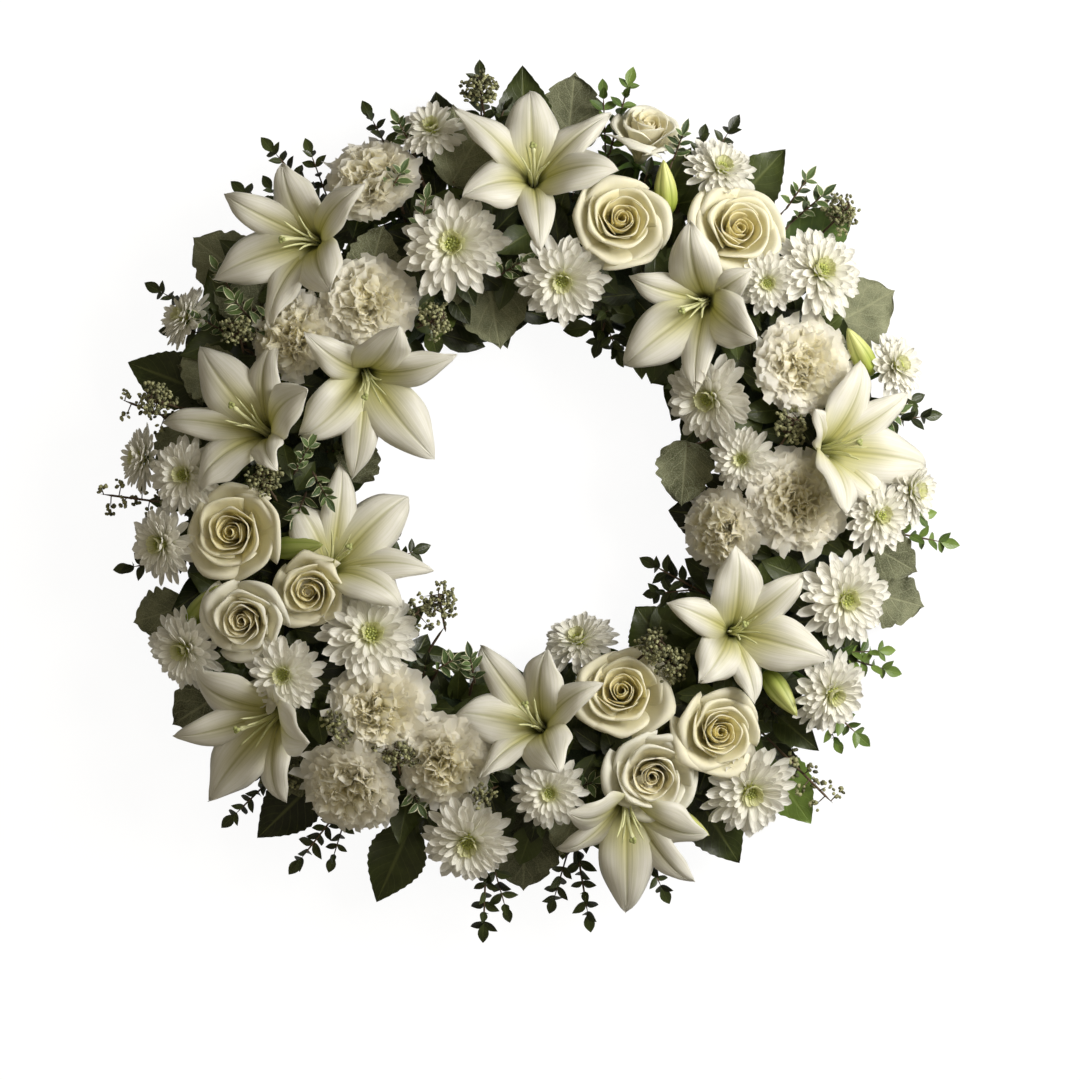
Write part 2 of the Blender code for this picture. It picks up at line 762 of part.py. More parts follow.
def add_lily_petals(nodes):
    """Three narrow petals below and three broad ones above them, then the stamens."""
    for name, (x, y, lean, toward, turn, _) in LILIES.items():
        (matrix, sides), = heads[name]
        own = []
        for index in range(6):
            angle = turn + 60 * index + rng.uniform(-4, 4)
            inner = index % 2 == 0

            def make(bend, size, angle=angle, inner=inner):
                return lily_petal(matrix, angle, inner, bend, size)

            face = sides[1 if inner else 0][index]
            below = index in PETALS_BELOW.get(name, ())
            draw_petal(nodes[name][0], face, make, name, own, (20, 30) if below else (0, -10, 10, -20, 20, -32))
        for index in (0, 3):
            angle = turn + 60 * index + 20
            place_bent_clear(
                lambda bend, size, angle=angle: lily_thread(matrix, angle, 18 + bend, 42 * MM * size, 0.8 * MM),
                name, nodes[name], (0, -6),
            )


def plan_roses(nodes):
    """Buds and stems of the roses."""
    for name, (x, y, radius, lean, toward) in ROSES.items():
        parts = nodes.setdefault(name, [])
        matrix, axis = head_frame(x, y, lean, toward, ROSE_EYE, ROSE_LIFT)
        size = radius * MM
        profile = (
            (0, 40 * MM), (size * 0.22, 43 * MM), (size * 0.29, 22 * MM), (size * 0.27, 4 * MM), (0, -4 * MM),
        )
        keep_clear(core(matrix, profile, 6), name, parts)
        stand(name, parts, matrix, axis)


def add_rose_petals(nodes):
    """Two layers of cupped petals round each rose's bud."""
    for name, (x, y, radius, lean, toward) in ROSES.items():
        matrix, _ = head_frame(x, y, lean, toward, ROSE_EYE, ROSE_LIFT)
        size = radius * MM
        layers = (
            (3, 57, 0.52 * size, 0.50 * size, 42 * MM),
            (4, 45, 0.82 * size, 1.02 * size, 37 * MM),
        )
        for count, spread, belly, lip, top in layers:
            first = rng.uniform(0, 360)
            for step in range(count):
                angle = first + 360 * step / count

                def make(bend, shrink, angle=angle, spread=spread, belly=belly, lip=lip, top=top):
                    return rose_petal(matrix, angle, spread, belly, lip, top, bend, shrink)

                place_bent_clear(make, name, nodes[name], (0, -4, -8))


def plan_carnations(nodes):
    """Stems of the carnations; the heads follow in add_carnation_heads."""
    for name, (x, y, radius, lean, toward) in CARNATIONS.items():
        parts = nodes.setdefault(name, [])
        matrix, axis = head_frame(x, y, lean, toward, CARNATION_EYE, CARNATION_LIFT)
        base = matrix.translation
        add_stem(name, parts, base, base - axis * 6 * MM)


def add_carnation_heads(nodes):
    """The frilled heads, drawn back where they would press into a neighbour."""
    for name, (x, y, radius, lean, toward) in CARNATIONS.items():
        matrix, axis = head_frame(x, y, lean, toward, CARNATION_EYE, CARNATION_LIFT)
        head = carnation_head(matrix, radius * MM, rng.uniform(0, math.tau))
        base = matrix.translation

        def home(point, base=base, axis=axis):
            return base + axis * max(0, (point - base).dot(axis) - 4 * MM)

        if not draw_back(head, name, home):
            print(name, "still touches a neighbour")
        keep(head, name, nodes[name])


def plan_mums(nodes):
    """Cores and stalks of the chrysanthemums: the first head's stalk carries the others."""
    for name, rows in MUM_SPRAYS.items():
        parts = nodes.setdefault(name, [])
        heads[name] = []
        trunk = None
        for x, y, radius, lean, toward in rows:
            matrix, axis = head_frame(x, y, lean, toward, MUM_EYE, MUM_LIFT)
            first = rng.uniform(0, 36)
            head, sides = mum_head(matrix, radius * MM, first)
            keep_clear(head, name, parts)
            heads[name].append((matrix, head, sides, radius * MM, first))
            base = matrix.translation
            if trunk is None:
                trunk = (base, stand(name, parts, matrix, axis))
            else:
                fork = trunk[0].lerp(trunk[1], 0.4)
                keep_clear(bar(base + axis * STEM_IN_HEAD, fork, 1.7 * MM), name, parts)


def add_mum_petals(nodes):
    """A flat outer layer of rays and a steeper inner one on each chrysanthemum."""
    for name, rows in heads.items():
        if not name.startswith("mum"):
            continue
        own = []
        for matrix, head, sides, radius, first in rows:
            for step in range(MUM_SIDES):
                angle = first + 360 * (step + 0.5) / MUM_SIDES
                layers = [(0, 1.0, 4.5 * MM, 80, 0.36)]
                if step % 3 == 0:
                    layers.append((1, 0.74, 9.5 * MM, 52, 0.48))
                for level, reach, root, pitch, width in layers:

                    def make(bend, size, angle=angle, reach=reach, root=root, pitch=pitch, width=width):
                        return mum_petal(matrix, angle, radius * reach, root, pitch, bend, size, width)

                    draw_petal(head, sides[level][step], make, name, own, (0, 8, -10, 16, -22, -34, -46))


def blade_frame(start, tip):
    """Length, direction, sideways and upward of a leaf that runs from start to tip."""
    run = tip - start
    way = run.normalized()
    side = Vector((0, 0, 1)).cross(way).normalized()
    return run.length, way, side, way.cross(side)


def rung(place, side, above, half, thick):
    """The four corners of a leaf's or a stalk's cross section."""
    return [
        place - side * half - above * thick, place + side * half - above * thick,
        place + side * half + above * thick, place - side * half + above * thick,
    ]


def broad_leaf(start, tip, width, edge, stations, stalk):
    """A leaf on its stalk. edge(share) gives the share of its half width along the blade."""
    length, way, side, above = blade_frame(start, tip)
    sections = [rung(start + way * length * stalk, side, above, 1.4 * MM, LEAF_THICK)]
    for step in range(1, stations + 1):
        share = step / (stations + 1)
        along = stalk + (1 - stalk) * share
        arch = math.sin(math.pi * along) * length * 0.08
        sections.append(rung(
            start + way * length * along + above * arch, side, above, width / 2 * edge(share), LEAF_THICK,
        ))
    leaf, _ = closed_blade(rung(start, side, above, 1.4 * MM, LEAF_THICK), sections, tip)
    return split(leaf, leaf.faces)


def oval_edge(share):
    """The outline of a lemon leaf."""
    return math.sin(math.pi * share ** 0.8) ** 0.8


def lobed_edge(share):
    """The deeply waved outline of a dusty miller leaf, broad towards its tip."""
    wave = 1 if round(share * 6) % 2 else 0.68
    return wave * math.sin(math.pi * share ** 1.4) ** 0.5


def settle_item(make, name, parts):
    """Tries a leaf, twig or seed spray at its place, then lower, higher and to each side."""
    tries = [(0, 0), (0, 6), (0, -6), (2, 0), (-2, 0), (3, 6), (-3, 6), (4, -4), (-4, -4), (5, 8), (-5, 8)]
    for size in (1, 0.9, 0.8, 0.7, 0.6, 0.5):
        for shift, rise in tries:
            piece = make(shift, rise * MM, size)
            if not blocked(piece, name):
                keep(piece, name, parts)
                return
            piece.free()
    print(name, "left out one piece of greens")


def side_leaf(body, face, way, above, length, half):
    """Draws a small leaf out of a stalk's side face."""
    ring = list(face.verts)
    middle = face.calc_center_median()
    lateral = above.cross(way)
    corners = []
    for vert in ring:
        across = half if (vert.co - middle).dot(lateral) > 0 else -half
        up = LEAF_THICK if (vert.co - middle).dot(above) > 0 else -LEAF_THICK
        corners.append(middle + way * length * 0.5 + lateral * across + above * up)
    body.faces.remove(face)
    grow(body, ring, [corners], middle + way * length)


def twig(start, tip):
    """A boxwood twig: a slim stalk with a pair of small leaves, and one at its end."""
    length, way, side, above = blade_frame(start, tip)
    leaf = min(18 * MM, length * 0.34)
    sections = [rung(start + way * length * share, side, above, TWIG_THICK, TWIG_THICK) for share in (0.56, 0.64)]
    sections.append(rung(tip - way * leaf * 0.5, side, above, leaf * 0.3, LEAF_THICK))
    body, sides = closed_blade(rung(start, side, above, TWIG_THICK, TWIG_THICK), sections, tip)
    for index, sign in ((1, 1), (3, -1)):
        out = (way * 0.8 + side * sign).normalized()
        side_leaf(body, sides[1][index], out, above, leaf, leaf * 0.28)
    return split(body, body.faces)


def seed_spray(start, tip):
    """Seeded eucalyptus: a slim stalk that swells into round seeds, close together."""
    length, way, side, above = blade_frame(start, tip)
    sections = []
    for index in range(SEED_COUNT):
        share = 0.4 + 0.5 * index / (SEED_COUNT - 1)
        sections.append(rung(start + way * length * (share - 0.045), side, above, TWIG_THICK, TWIG_THICK))
        lean = side * (2.2 * MM if index % 2 else -2.2 * MM)
        sections.append(rung(start + way * length * share + lean, side, above, 3.2 * MM, 2.6 * MM))
    body, _ = closed_blade(rung(start, side, above, TWIG_THICK, TWIG_THICK), sections, tip)
    return split(body, body.faces)


def lemon_leaf(start, tip):
    """A lemon leaf on a short stalk."""
    return broad_leaf(start, tip, 40 * MM, oval_edge, 3, 0.24)


def dusty_leaf(start, tip, width):
    """A dusty miller leaf: a lobed silver blade on its stalk."""
    return broad_leaf(start, tip, width, lobed_edge, 5, 0.25)


def build_runner(name, parts, items, edge_r, foam_r):
    """The branch that follows the foam's edge, with its cut end in the foam."""
    angles = [item[1] for item in items]
    low, high = min(angles), max(angles)
    if high - low > 180:
        angles = [angle + 360 if angle < 180 else angle for angle in angles]
        low, high = min(angles), max(angles)
    stops = [low - 2]
    for angle in sorted(angles) + [high + 2]:
        between = math.ceil((angle - stops[-1]) / RUNNER_STEP)
        stops += [stops[-1] + (angle - stops[-1]) * (step + 1) / between for step in range(between)]
    path = [polar(edge_r, angle, RUNNER_Z) for angle in stops]
    up = Vector((0, 0, 1))
    sections = []
    for step, place in enumerate(path[:-1]):
        way = (path[step + 1] - path[max(0, step - 1)]).normalized()
        sections.append(rung(place, up.cross(way), up, RUNNER_THICK, RUNNER_THICK))
    start = polar(foam_r, low - 5, RUNNER_Z)
    way = (path[0] - start).normalized()
    keep(closed_blade(rung(start, up.cross(way), up, RUNNER_THICK, RUNNER_THICK), sections, path[-1])[0], name, parts)
    play = RUNNER_THICK + HOLE_PLAY
    beyond = way * HOLE_PLAY
    corners = rung(start - beyond, up.cross(way), up, play, play)
    stem_cutters.append(closed_blade(corners, [rung(path[0], up.cross(way), up, play, play)], path[0] + way * MM)[0])


def plan_runners(nodes):
    """Places every runner before the leaves, so that the leaves stay clear of them."""
    for name, items in OUTER_GREENS.items():
        build_runner(name, nodes.setdefault(name, []), items, RUNNER_OUTER_R, FOAM_OUTER_R - STEM_IN_FOAM)
    for name, items in INNER_GREENS.items():
        build_runner(name, nodes.setdefault(name, []), items, RUNNER_INNER_R, FOAM_INNER_R + STEM_IN_FOAM)


def add_greens(nodes):
    """Leaves, twigs and seed sprays on the runners, pointing away from the foam."""
    makers = {"leaf": lemon_leaf, "twig": twig, "seeds": seed_spray}
    for group, edge_r in ((OUTER_GREENS, RUNNER_OUTER_R), (INNER_GREENS, RUNNER_INNER_R)):
        for name, items in group.items():
            for kind, angle, reach, height in items:

                def make(shift, rise, size, kind=kind, angle=angle, reach=reach, height=height):
                    start = polar(edge_r - math.copysign(MM, edge_r - MOUND_R), angle, RUNNER_Z)
                    far = edge_r + (reach * MM - edge_r) * size
                    tip = polar(far, angle + shift, max(8 * MM, height * MM + rise))
                    return makers[kind](start, tip)

                settle_item(make, name, nodes[name])


def plan_dusty_miller(nodes):
    """A stalk in the foam's side for each dusty miller bunch."""
    for name, leaves in DUSTY_MILLER.items():
        parts = nodes.setdefault(name, [])
        angle, reach, _, _ = leaves[0]
        outer = reach * MM > MOUND_R
        edge = FOAM_OUTER_R + 14 * MM if outer else FOAM_INNER_R - 8 * MM
        seat = polar(edge, angle, 30 * MM)
        add_stem(name, parts, seat, seat, 2 * MM)


def add_dusty_leaves(nodes):
    """The lobed leaves of each dusty miller bunch."""
    for name, leaves in DUSTY_MILLER.items():
        first_angle, first_reach, _, _ = leaves[0]
        outer = first_reach * MM > MOUND_R
        edge = FOAM_OUTER_R + 12 * MM if outer else FOAM_INNER_R - 6 * MM
        start = polar(edge, first_angle, 30 * MM)
        for angle, reach, height, width in leaves:

            def make(shift, rise, size, angle=angle, reach=reach, height=height, width=width):
                far = edge + (reach * MM - edge) * size
                tip = polar(far, angle + shift, max(8 * MM, height * MM + rise))
                return dusty_leaf(start, tip, width * MM * size)

            settle_item(make, name, nodes[name])


FINISHES = (
    ("lily", "white_petal"), ("rose", "cream_petal"), ("carnation", "ivory_petal"),
    ("mum", "bright_petal"), ("greens", "dark_leaf"), ("dusty", "silver_leaf"),
)


def main():
    clear_scene()
    wreath = new_collection("funeral_wreath")
    build_tray(wreath)
    foam = turn_foam()
    nodes = {}
    for step in (
        plan_lilies, plan_roses, plan_carnations, plan_mums, plan_runners, plan_dusty_miller,
        add_rose_petals, add_carnation_heads, add_lily_petals, add_mum_petals, add_dusty_leaves, add_greens,
    ):
        step(nodes)
    build_foam(foam, wreath)
    for name, parts in nodes.items():
        finish = next(finish for start, finish in FINISHES if name.startswith(start))
        fuse(name, parts, finish, wreath)


main()
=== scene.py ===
# %% [markdown]
# # A funeral wreath of white flowers, laid flat
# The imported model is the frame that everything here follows: a ring of wet foam in a tray, with every
# stem already standing in its hole. It could be drawn over by hand, but then the flowers would drift
# off their stems, so each flower below starts from the same place and size as its solid.

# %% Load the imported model
import math
import random

import bmesh
import bpy
from mathutils import Matrix, Vector


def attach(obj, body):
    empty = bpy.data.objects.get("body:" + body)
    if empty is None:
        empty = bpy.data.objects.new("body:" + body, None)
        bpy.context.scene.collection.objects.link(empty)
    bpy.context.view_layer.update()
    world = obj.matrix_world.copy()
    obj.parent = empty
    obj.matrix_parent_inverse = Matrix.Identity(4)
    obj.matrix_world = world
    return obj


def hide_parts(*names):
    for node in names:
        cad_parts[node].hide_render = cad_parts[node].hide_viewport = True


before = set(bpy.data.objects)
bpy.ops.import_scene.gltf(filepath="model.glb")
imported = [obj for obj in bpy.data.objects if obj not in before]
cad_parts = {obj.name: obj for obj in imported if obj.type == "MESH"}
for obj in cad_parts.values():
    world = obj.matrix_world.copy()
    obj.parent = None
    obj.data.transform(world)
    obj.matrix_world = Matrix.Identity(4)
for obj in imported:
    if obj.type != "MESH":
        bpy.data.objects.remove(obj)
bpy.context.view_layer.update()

MM = 0.001


# %% [markdown]
# ## Camera
# The photograph looks straight at the wreath's face, so with the wreath on its back the camera hangs
# above it. A wide lens close by would spread the outer flowers, so a long lens three metres up is used.

# %% Hang the camera
# The picture's middle and width are measured at the height where the flowers' faces lie.
CAMERA_HEIGHT, FACE_HEIGHT = 3.0, 0.09
PICTURE_X, PICTURE_Y, PICTURE_WIDTH = 7.2 * MM, -28.8 * MM, 0.7776
SENSOR_WIDTH = 36
camera_data = bpy.data.cameras.new("camera")
camera = bpy.data.objects.new("camera", camera_data)
bpy.context.collection.objects.link(camera)
camera.location = (PICTURE_X, PICTURE_Y, CAMERA_HEIGHT)
camera_data.sensor_width = SENSOR_WIDTH
camera_data.lens = SENSOR_WIDTH * (CAMERA_HEIGHT - FACE_HEIGHT) / PICTURE_WIDTH
bpy.context.scene.camera = camera
print("lens", round(camera_data.lens, 1), "mm")

# %% [markdown]
# ## Where flowers sit
# Florists build a wreath as a rounded mound. The mound is one formula here, from a point over the ring
# to the height of a flower's face, and an axis tells which way that face looks. Placing each flower by
# eye would also work, but a formula keeps all of them on the same form as the solids.

# %% The mound and its directions
MOUND_R, MOUND_OUT, MOUND_IN, MOUND_LOW, MOUND_RISE = 190 * MM, 105 * MM, 90 * MM, 40 * MM, 58 * MM
FOAM_INNER_R, FOAM_OUTER_R, FOAM_TOP = 146.4 * MM, 228.6 * MM, 52 * MM
UP = Vector((0, 0, 1))
# The turn in degrees from one petal or floret to the next as they grow.
GOLDEN_ANGLE = 137.5


def polar(radius, degrees, height=0.0):
    """The point at this radius, angle and height."""
    turn = math.radians(degrees)
    return Vector((radius * math.cos(turn), radius * math.sin(turn), height))


def leaning(lean, toward):
    """The direction that leans away from straight up, towards an angle round the ring."""
    return polar(math.sin(math.radians(lean)), toward, math.cos(math.radians(lean)))


def mound_point(x, y):
    """The point of the mound over x, y."""
    radius = math.hypot(x, y)
    share = min(0.97, abs(radius - MOUND_R) / (MOUND_OUT if radius > MOUND_R else MOUND_IN))
    return Vector((x, y, MOUND_LOW + MOUND_RISE * math.sqrt(1 - share * share)))


def frame_at(base, axis):
    """The matrix that stands something at base with its Z along axis."""
    turn = UP.rotation_difference(axis)
    return Matrix.Translation(base) @ turn.to_matrix().to_4x4()


def head_frame(x, y, lean, toward, eye, lift):
    """The matrix of a flower whose middle is seen over x, y, stands eye above the flower's base and lift
    off the mound, all in mm."""
    axis = leaning(lean, toward)
    return frame_at(mound_point(x * MM, y * MM) + axis * (lift - eye) * MM, axis)


def facing(outward, slope):
    """The way a petal's upper side looks, where the line down its middle has this slope."""
    return UP * math.sin(slope) - outward * math.cos(slope)


print("top of the mound", round(mound_point(MOUND_R, 0).z / MM), "mm")

# %% [markdown]
# ## Sheets and stalks
# Petals and leaves are thin sheets. A grid is added for each one and a formula moves its corners,
# which gives even faces and a UV map that runs along the petal. Sculpting would give livelier sheets
# but not thousands of them. Stalks are the same grid rolled up round a path.

# %% A sheet, a stalk and a finished piece


def new_piece():
    """An empty mesh with the layers that the materials read."""
    bm = bmesh.new()
    bm.loops.layers.uv.new("petal")
    bm.verts.layers.float.new("heart")
    bm.verts.layers.float.new("tone")
    return bm


def dress(bm, made, finish, heart, tone):
    """Gives new corners and their faces what the materials read."""
    near, shade = bm.verts.layers.float["heart"], bm.verts.layers.float["tone"]
    for vert in made:
        vert[near], vert[shade] = heart, tone
    for face in {face for vert in made for face in vert.link_faces}:
        face.material_index, face.smooth = finish, True


def lay_sheet(bm, across, along, place, finish, heart=1.0, tone=0.5):
    """Adds a grid and moves its corners to place(side, up), where side is -1 to 1 and up 0 to 1."""
    made = bmesh.ops.create_grid(bm, x_segments=across, y_segments=along, size=1, calc_uvs=True)["verts"]
    for vert in made:
        vert.co = place(vert.co.x, (vert.co.y + 1) / 2)
    dress(bm, made, finish, heart, tone)


def lay_grain(bm, place, radius, finish, heart, tone, smoothness=1):
    """Adds a small ball, which the matrix place moves, turns and stretches."""
    made = bmesh.ops.create_icosphere(bm, subdivisions=smoothness, radius=radius, matrix=place)["verts"]
    dress(bm, made, finish, heart, tone)


def lay_stalk(bm, path, radii, sides, finish, heart=0.5, tone=0.5):
    """Adds a closed stalk round the path, with a radius for each of its points."""
    frames = [
        frame_at(point, (path[min(i + 1, len(path) - 1)] - path[max(i - 1, 0)]).normalized())
        for i, point in enumerate(path)
    ]

    def place(side, up):
        step = round(up * (len(path) - 1))
        return frames[step] @ polar(radii[step], 180 * side)

    lay_sheet(bm, sides, len(path) - 1, place, finish, heart, tone)


def lay_rod(bm, path, radius, sides, finish, heart=0.5, tone=0.5):
    """Adds a stalk of one thickness that runs to a point at both ends."""
    lay_stalk(bm, path, [0] + [radius] * (len(path) - 2) + [0], sides, finish, heart, tone)


def lay_turned(bm, matrix, profile, sides, finish, heart=0.8):
    """Adds a turned form on a flower's axis from pairs of height and radius in mm."""
    path = [matrix @ Vector((0, 0, height * MM)) for height, _ in profile]
    lay_stalk(bm, path, [radius * MM for _, radius in profile], sides, finish, heart)


def bow(start, end, sag, steps):
    """Points from start to end on a soft bow that passes sag off the straight line at its middle."""
    return [start.lerp(end, i / steps) + sag * math.sin(math.pi * i / steps) for i in range(steps + 1)]


def on_path(path, along):
    """The point at this share of a path, and the way the path runs there."""
    steps = len(path) - 1
    at = min(int(along * steps), steps - 1)
    return path[at].lerp(path[at + 1], along * steps - at), (path[at + 1] - path[at]).normalized()


def thicken(bm, thickness):
    """Gives every sheet made so far a second side below its face."""
    bmesh.ops.solidify(bm, geom=bm.faces[:], thickness=thickness)


total = {"triangles": 0}


def finish_piece(bm, name, finishes, nodes):
    """Closes the seams, makes the object, and lets it ride on the wreath in place of its solids."""
    bmesh.ops.remove_doubles(bm, verts=bm.verts, dist=0.002 * MM)
    bmesh.ops.dissolve_degenerate(bm, edges=bm.edges, dist=0.001 * MM)
    mesh = bpy.data.meshes.new(name)
    count = sum(len(face.verts) - 2 for face in bm.faces)
    bm.to_mesh(mesh)
    bm.free()
    for material in finishes:
        mesh.materials.append(material)
    piece = bpy.data.objects.new(name, mesh)
    bpy.context.collection.objects.link(piece)
    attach(piece, "root")
    if nodes:
        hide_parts(*nodes)
    total["triangles"] += count
    return piece


# %% [markdown]
# ## Materials
# A photograph wrapped round each petal would show real veins, but it would blur close up and bring its
# own light with it. Nodes stay sharp at any distance, so every finish here is built from noise and
# waves, each at a size taken from the real thing. Colours are sRGB hex values, as one would pick them
# from a screen, and one function turns them to the linear values that the shader wants.

# %% Colours and nodes
SMOOTH = {"interpolation_type": "SMOOTHSTEP"}
TINT = {"data_type": "RGBA"}


def rgb(text):
    """The linear colour of an sRGB hex value such as #f4f0e6."""
    parts = [int(text[i : i + 2], 16) / 255 for i in (1, 3, 5)]
    return (*(v / 12.92 if v <= 0.04045 else ((v + 0.055) / 1.055) ** 2.4 for v in parts), 1.0)


def add(tree, kind, inputs, out=0, **settings):
    """Adds a node with its settings, fills or links its inputs, and gives back one of its outputs."""
    made = tree.nodes.new("ShaderNode" + kind)
    for key, value in settings.items():
        setattr(made, key, value)
    for key, value in inputs.items():
        if isinstance(value, bpy.types.NodeSocket):
            tree.links.new(value, made.inputs[key])
        else:
            made.inputs[key].default_value = value
    return made.outputs[out] if len(made.outputs) else None


def begin(name):
    """A new material, its tree, the place on the object, and on a petal the distance from its middle and
    from its root, 0 to 1, and both as a vector."""
    material = bpy.data.materials.new(name)
    material.use_nodes = True
    tree = material.node_tree
    tree.nodes.clear()
    place = add(tree, "TexCoord", {}, "Object")
    petal = add(tree, "UVMap", {}, uv_map="petal")
    across = add(tree, "SeparateXYZ", {0: petal}, "X")
    centred = add(tree, "Math", {0: across, 1: 2.0, 2: -1.0}, operation="MULTIPLY_ADD")
    middle = add(tree, "Math", {0: centred}, operation="ABSOLUTE")
    return material, tree, place, middle, across.node.outputs["Y"], petal


def soft_surface(tree, colour, height, relief, roughness, through, sheen=0.0):
    """A thin living surface: the light it throws back, mixed with the light that comes through it."""
    normal = add(tree, "Bump", {"Strength": relief, "Distance": 0.4 * MM, "Height": height})
    solid = add(tree, "BsdfPrincipled", {
        "Base Color": colour, "Roughness": roughness, "Normal": normal, "Specular IOR Level": 0.35,
        "Sheen Weight": sheen, "Sheen Roughness": 0.4,
    })
    if through:
        light = add(tree, "BsdfTranslucent", {"Color": colour, "Normal": normal})
        solid = add(tree, "MixShader", {0: through, 1: solid, 2: light})
    add(tree, "OutputMaterial", {"Surface": solid})


# %% [markdown]
# ### Petals
# A lily's petal is waxy and white, with a yellow-green throat that runs out along the midrib. A rose's
# petal is velvety and yellower towards the flower's heart, where painted shade deepens it further. A carnation's
# is matte, thin and ivory, and a chrysanthemum's is white with a lime tint where it leaves the eye. They could
# share one material,
# but then the lilies would lose their wax and the roses their velvet, so each kind has its own.

# %% Lily petals, waxy white with a green throat


def lily_white():
    # Petal tissue under a thin wax: the eye sees a soft gloss on the curves and fine lengthwise veins.
    material, tree, place, middle, along, petal = begin("lily_petal_waxy_white")
    # Cloudy patches some 20 mm wide.
    cloud = add(tree, "TexNoise", {"Vector": place, "Scale": 1 / (20 * MM), "Detail": 2.0})
    colour = add(tree, "Mix", {0: cloud, 6: rgb("#fdfcf6"), 7: rgb("#efece2")}, 2, **TINT)
    near_rib = add(tree, "MapRange", {0: middle, 1: 0.02, 2: 0.66, 3: 0.86, 4: 0.0}, **SMOOTH)
    fading = add(tree, "MapRange", {0: along, 1: 0.15, 2: 0.82, 3: 1.0, 4: 0.0}, **SMOOTH)
    glow = add(tree, "Math", {0: near_rib, 1: fading}, operation="MULTIPLY")
    colour = add(tree, "Mix", {0: glow, 6: colour, 7: rgb("#d9d48b")}, 2, **TINT)
    funnel = add(tree, "MapRange", {0: along, 1: 0.1, 2: 0.5, 3: 0.75, 4: 0.0}, **SMOOTH)
    colour = add(tree, "Mix", {0: funnel, 6: colour, 7: rgb("#d9d684")}, 2, **TINT)
    throat = add(tree, "MapRange", {0: along, 1: 0.03, 2: 0.17, 3: 1.0, 4: 0.0}, **SMOOTH)
    colour = add(tree, "Mix", {0: throat, 6: colour, 7: rgb("#7c7f32")}, 2, **TINT)
    # Veins about 1.4 mm apart on a petal 36 mm wide, drawn out along it.
    drawn = add(tree, "Mapping", {0: petal, 3: (26.0, 2.2, 1.0)})
    veins = add(tree, "TexNoise", {"Vector": drawn, "Scale": 1.0, "Detail": 1.0})
    share = add(tree, "MapRange", {0: veins, 1: 0.42, 2: 0.72, 3: 0.0, 4: 0.3})
    colour = add(tree, "Mix", {0: share, 6: colour, 7: rgb("#cbcaa8")}, 2, **TINT)
    # A groove runs down the middle between two fine ridges, which catch the light.
    groove = add(tree, "MapRange", {0: middle, 1: 0.0, 2: 0.08, 3: 0.55, 4: 0.0})
    tapered = add(tree, "MapRange", {0: along, 1: 0.55, 2: 0.95, 3: 1.0, 4: 0.2})
    groove = add(tree, "Math", {0: groove, 1: tapered}, operation="MULTIPLY")
    colour = add(tree, "Mix", {0: groove, 6: colour, 7: rgb("#b0ae66")}, 2, **TINT)
    off_line = add(tree, "Math", {0: middle, 1: 0.19}, operation="SUBTRACT")
    off_line = add(tree, "Math", {0: off_line}, operation="ABSOLUTE")
    twin = add(tree, "MapRange", {0: off_line, 1: 0.0, 2: 0.05, 3: 0.4, 4: 0.0})
    twin = add(tree, "Math", {0: twin, 1: fading}, operation="MULTIPLY")
    colour = add(tree, "Mix", {0: twin, 6: colour, 7: rgb("#a7a873")}, 2, **TINT)
    inner = add(tree, "MapRange", {0: middle, 1: 0.02, 2: 0.11})
    outer = add(tree, "MapRange", {0: middle, 1: 0.12, 2: 0.26, 3: 1.6, 4: 0.0})
    ridge = add(tree, "Math", {0: inner, 1: outer, 2: veins}, operation="MULTIPLY_ADD")
    soft_surface(tree, colour, ridge, 0.5, 0.4, 0.34)
    return material


LILY_WHITE = lily_white()

# %% Rose petals, velvety cream and velvety white


def rose_velvet(name, lip, body, deep):
    # Cone-shaped cells give a rose its velvet: no gloss and a faint sheen at the edges. The colour is yellower
    # towards the heart and each petal's base, and is deepened there as painted shade where petals face each
    # other.
    material, tree, place, _, along, petal = begin(name)
    heart = add(tree, "Attribute", {}, "Fac", attribute_name="heart")
    # The deep colour towards the heart and at each petal's base is real yellowing with painted shade on top,
    # where petals face each other.
    share = add(tree, "MapRange", {0: heart, 1: 0.0, 2: 0.85}, **SMOOTH)
    colour = add(tree, "Mix", {0: share, 6: rgb(deep), 7: rgb(body)}, 2, **TINT)
    low = add(tree, "MapRange", {0: along, 1: 0.15, 2: 0.6, 3: 0.4, 4: 0.0}, **SMOOTH)
    colour = add(tree, "Mix", {0: low, 6: colour, 7: rgb(deep)}, 2, **TINT)
    reach = add(tree, "Math", {0: heart, 1: 0.3, 2: along}, operation="MULTIPLY_ADD")
    rim = add(tree, "MapRange", {0: reach, 1: 0.62, 2: 1.15}, **SMOOTH)
    colour = add(tree, "Mix", {0: rim, 6: colour, 7: rgb(lip)}, 2, **TINT)
    # Veins about 1.5 mm apart on a petal 50 mm wide.
    drawn = add(tree, "Mapping", {0: petal, 3: (34.0, 2.5, 1.0)})
    veins = add(tree, "TexNoise", {"Vector": drawn, "Scale": 1.0, "Detail": 1.0})
    share = add(tree, "MapRange", {0: veins, 1: 0.45, 2: 0.75, 3: 0.0, 4: 0.3})
    colour = add(tree, "Mix", {0: share, 6: colour, 7: rgb(body)}, 2, **TINT)
    # A lip is a little tired in spots 7 mm wide, where it has been handled.
    spot = add(tree, "TexNoise", {"Vector": place, "Scale": 1 / (7 * MM), "Detail": 2.0})
    spot = add(tree, "MapRange", {0: spot, 1: 0.5, 2: 0.72, 3: 0.0, 4: 0.3})
    at_lip = add(tree, "MapRange", {0: along, 1: 0.9, 2: 1.0})
    spot = add(tree, "Math", {0: spot, 1: at_lip}, operation="MULTIPLY")
    colour = add(tree, "Mix", {0: spot, 6: colour, 7: rgb("#e6dab0")}, 2, **TINT)
    soft_surface(tree, colour, veins, 0.25, 0.6, 0.4, sheen=0.15)
    return material
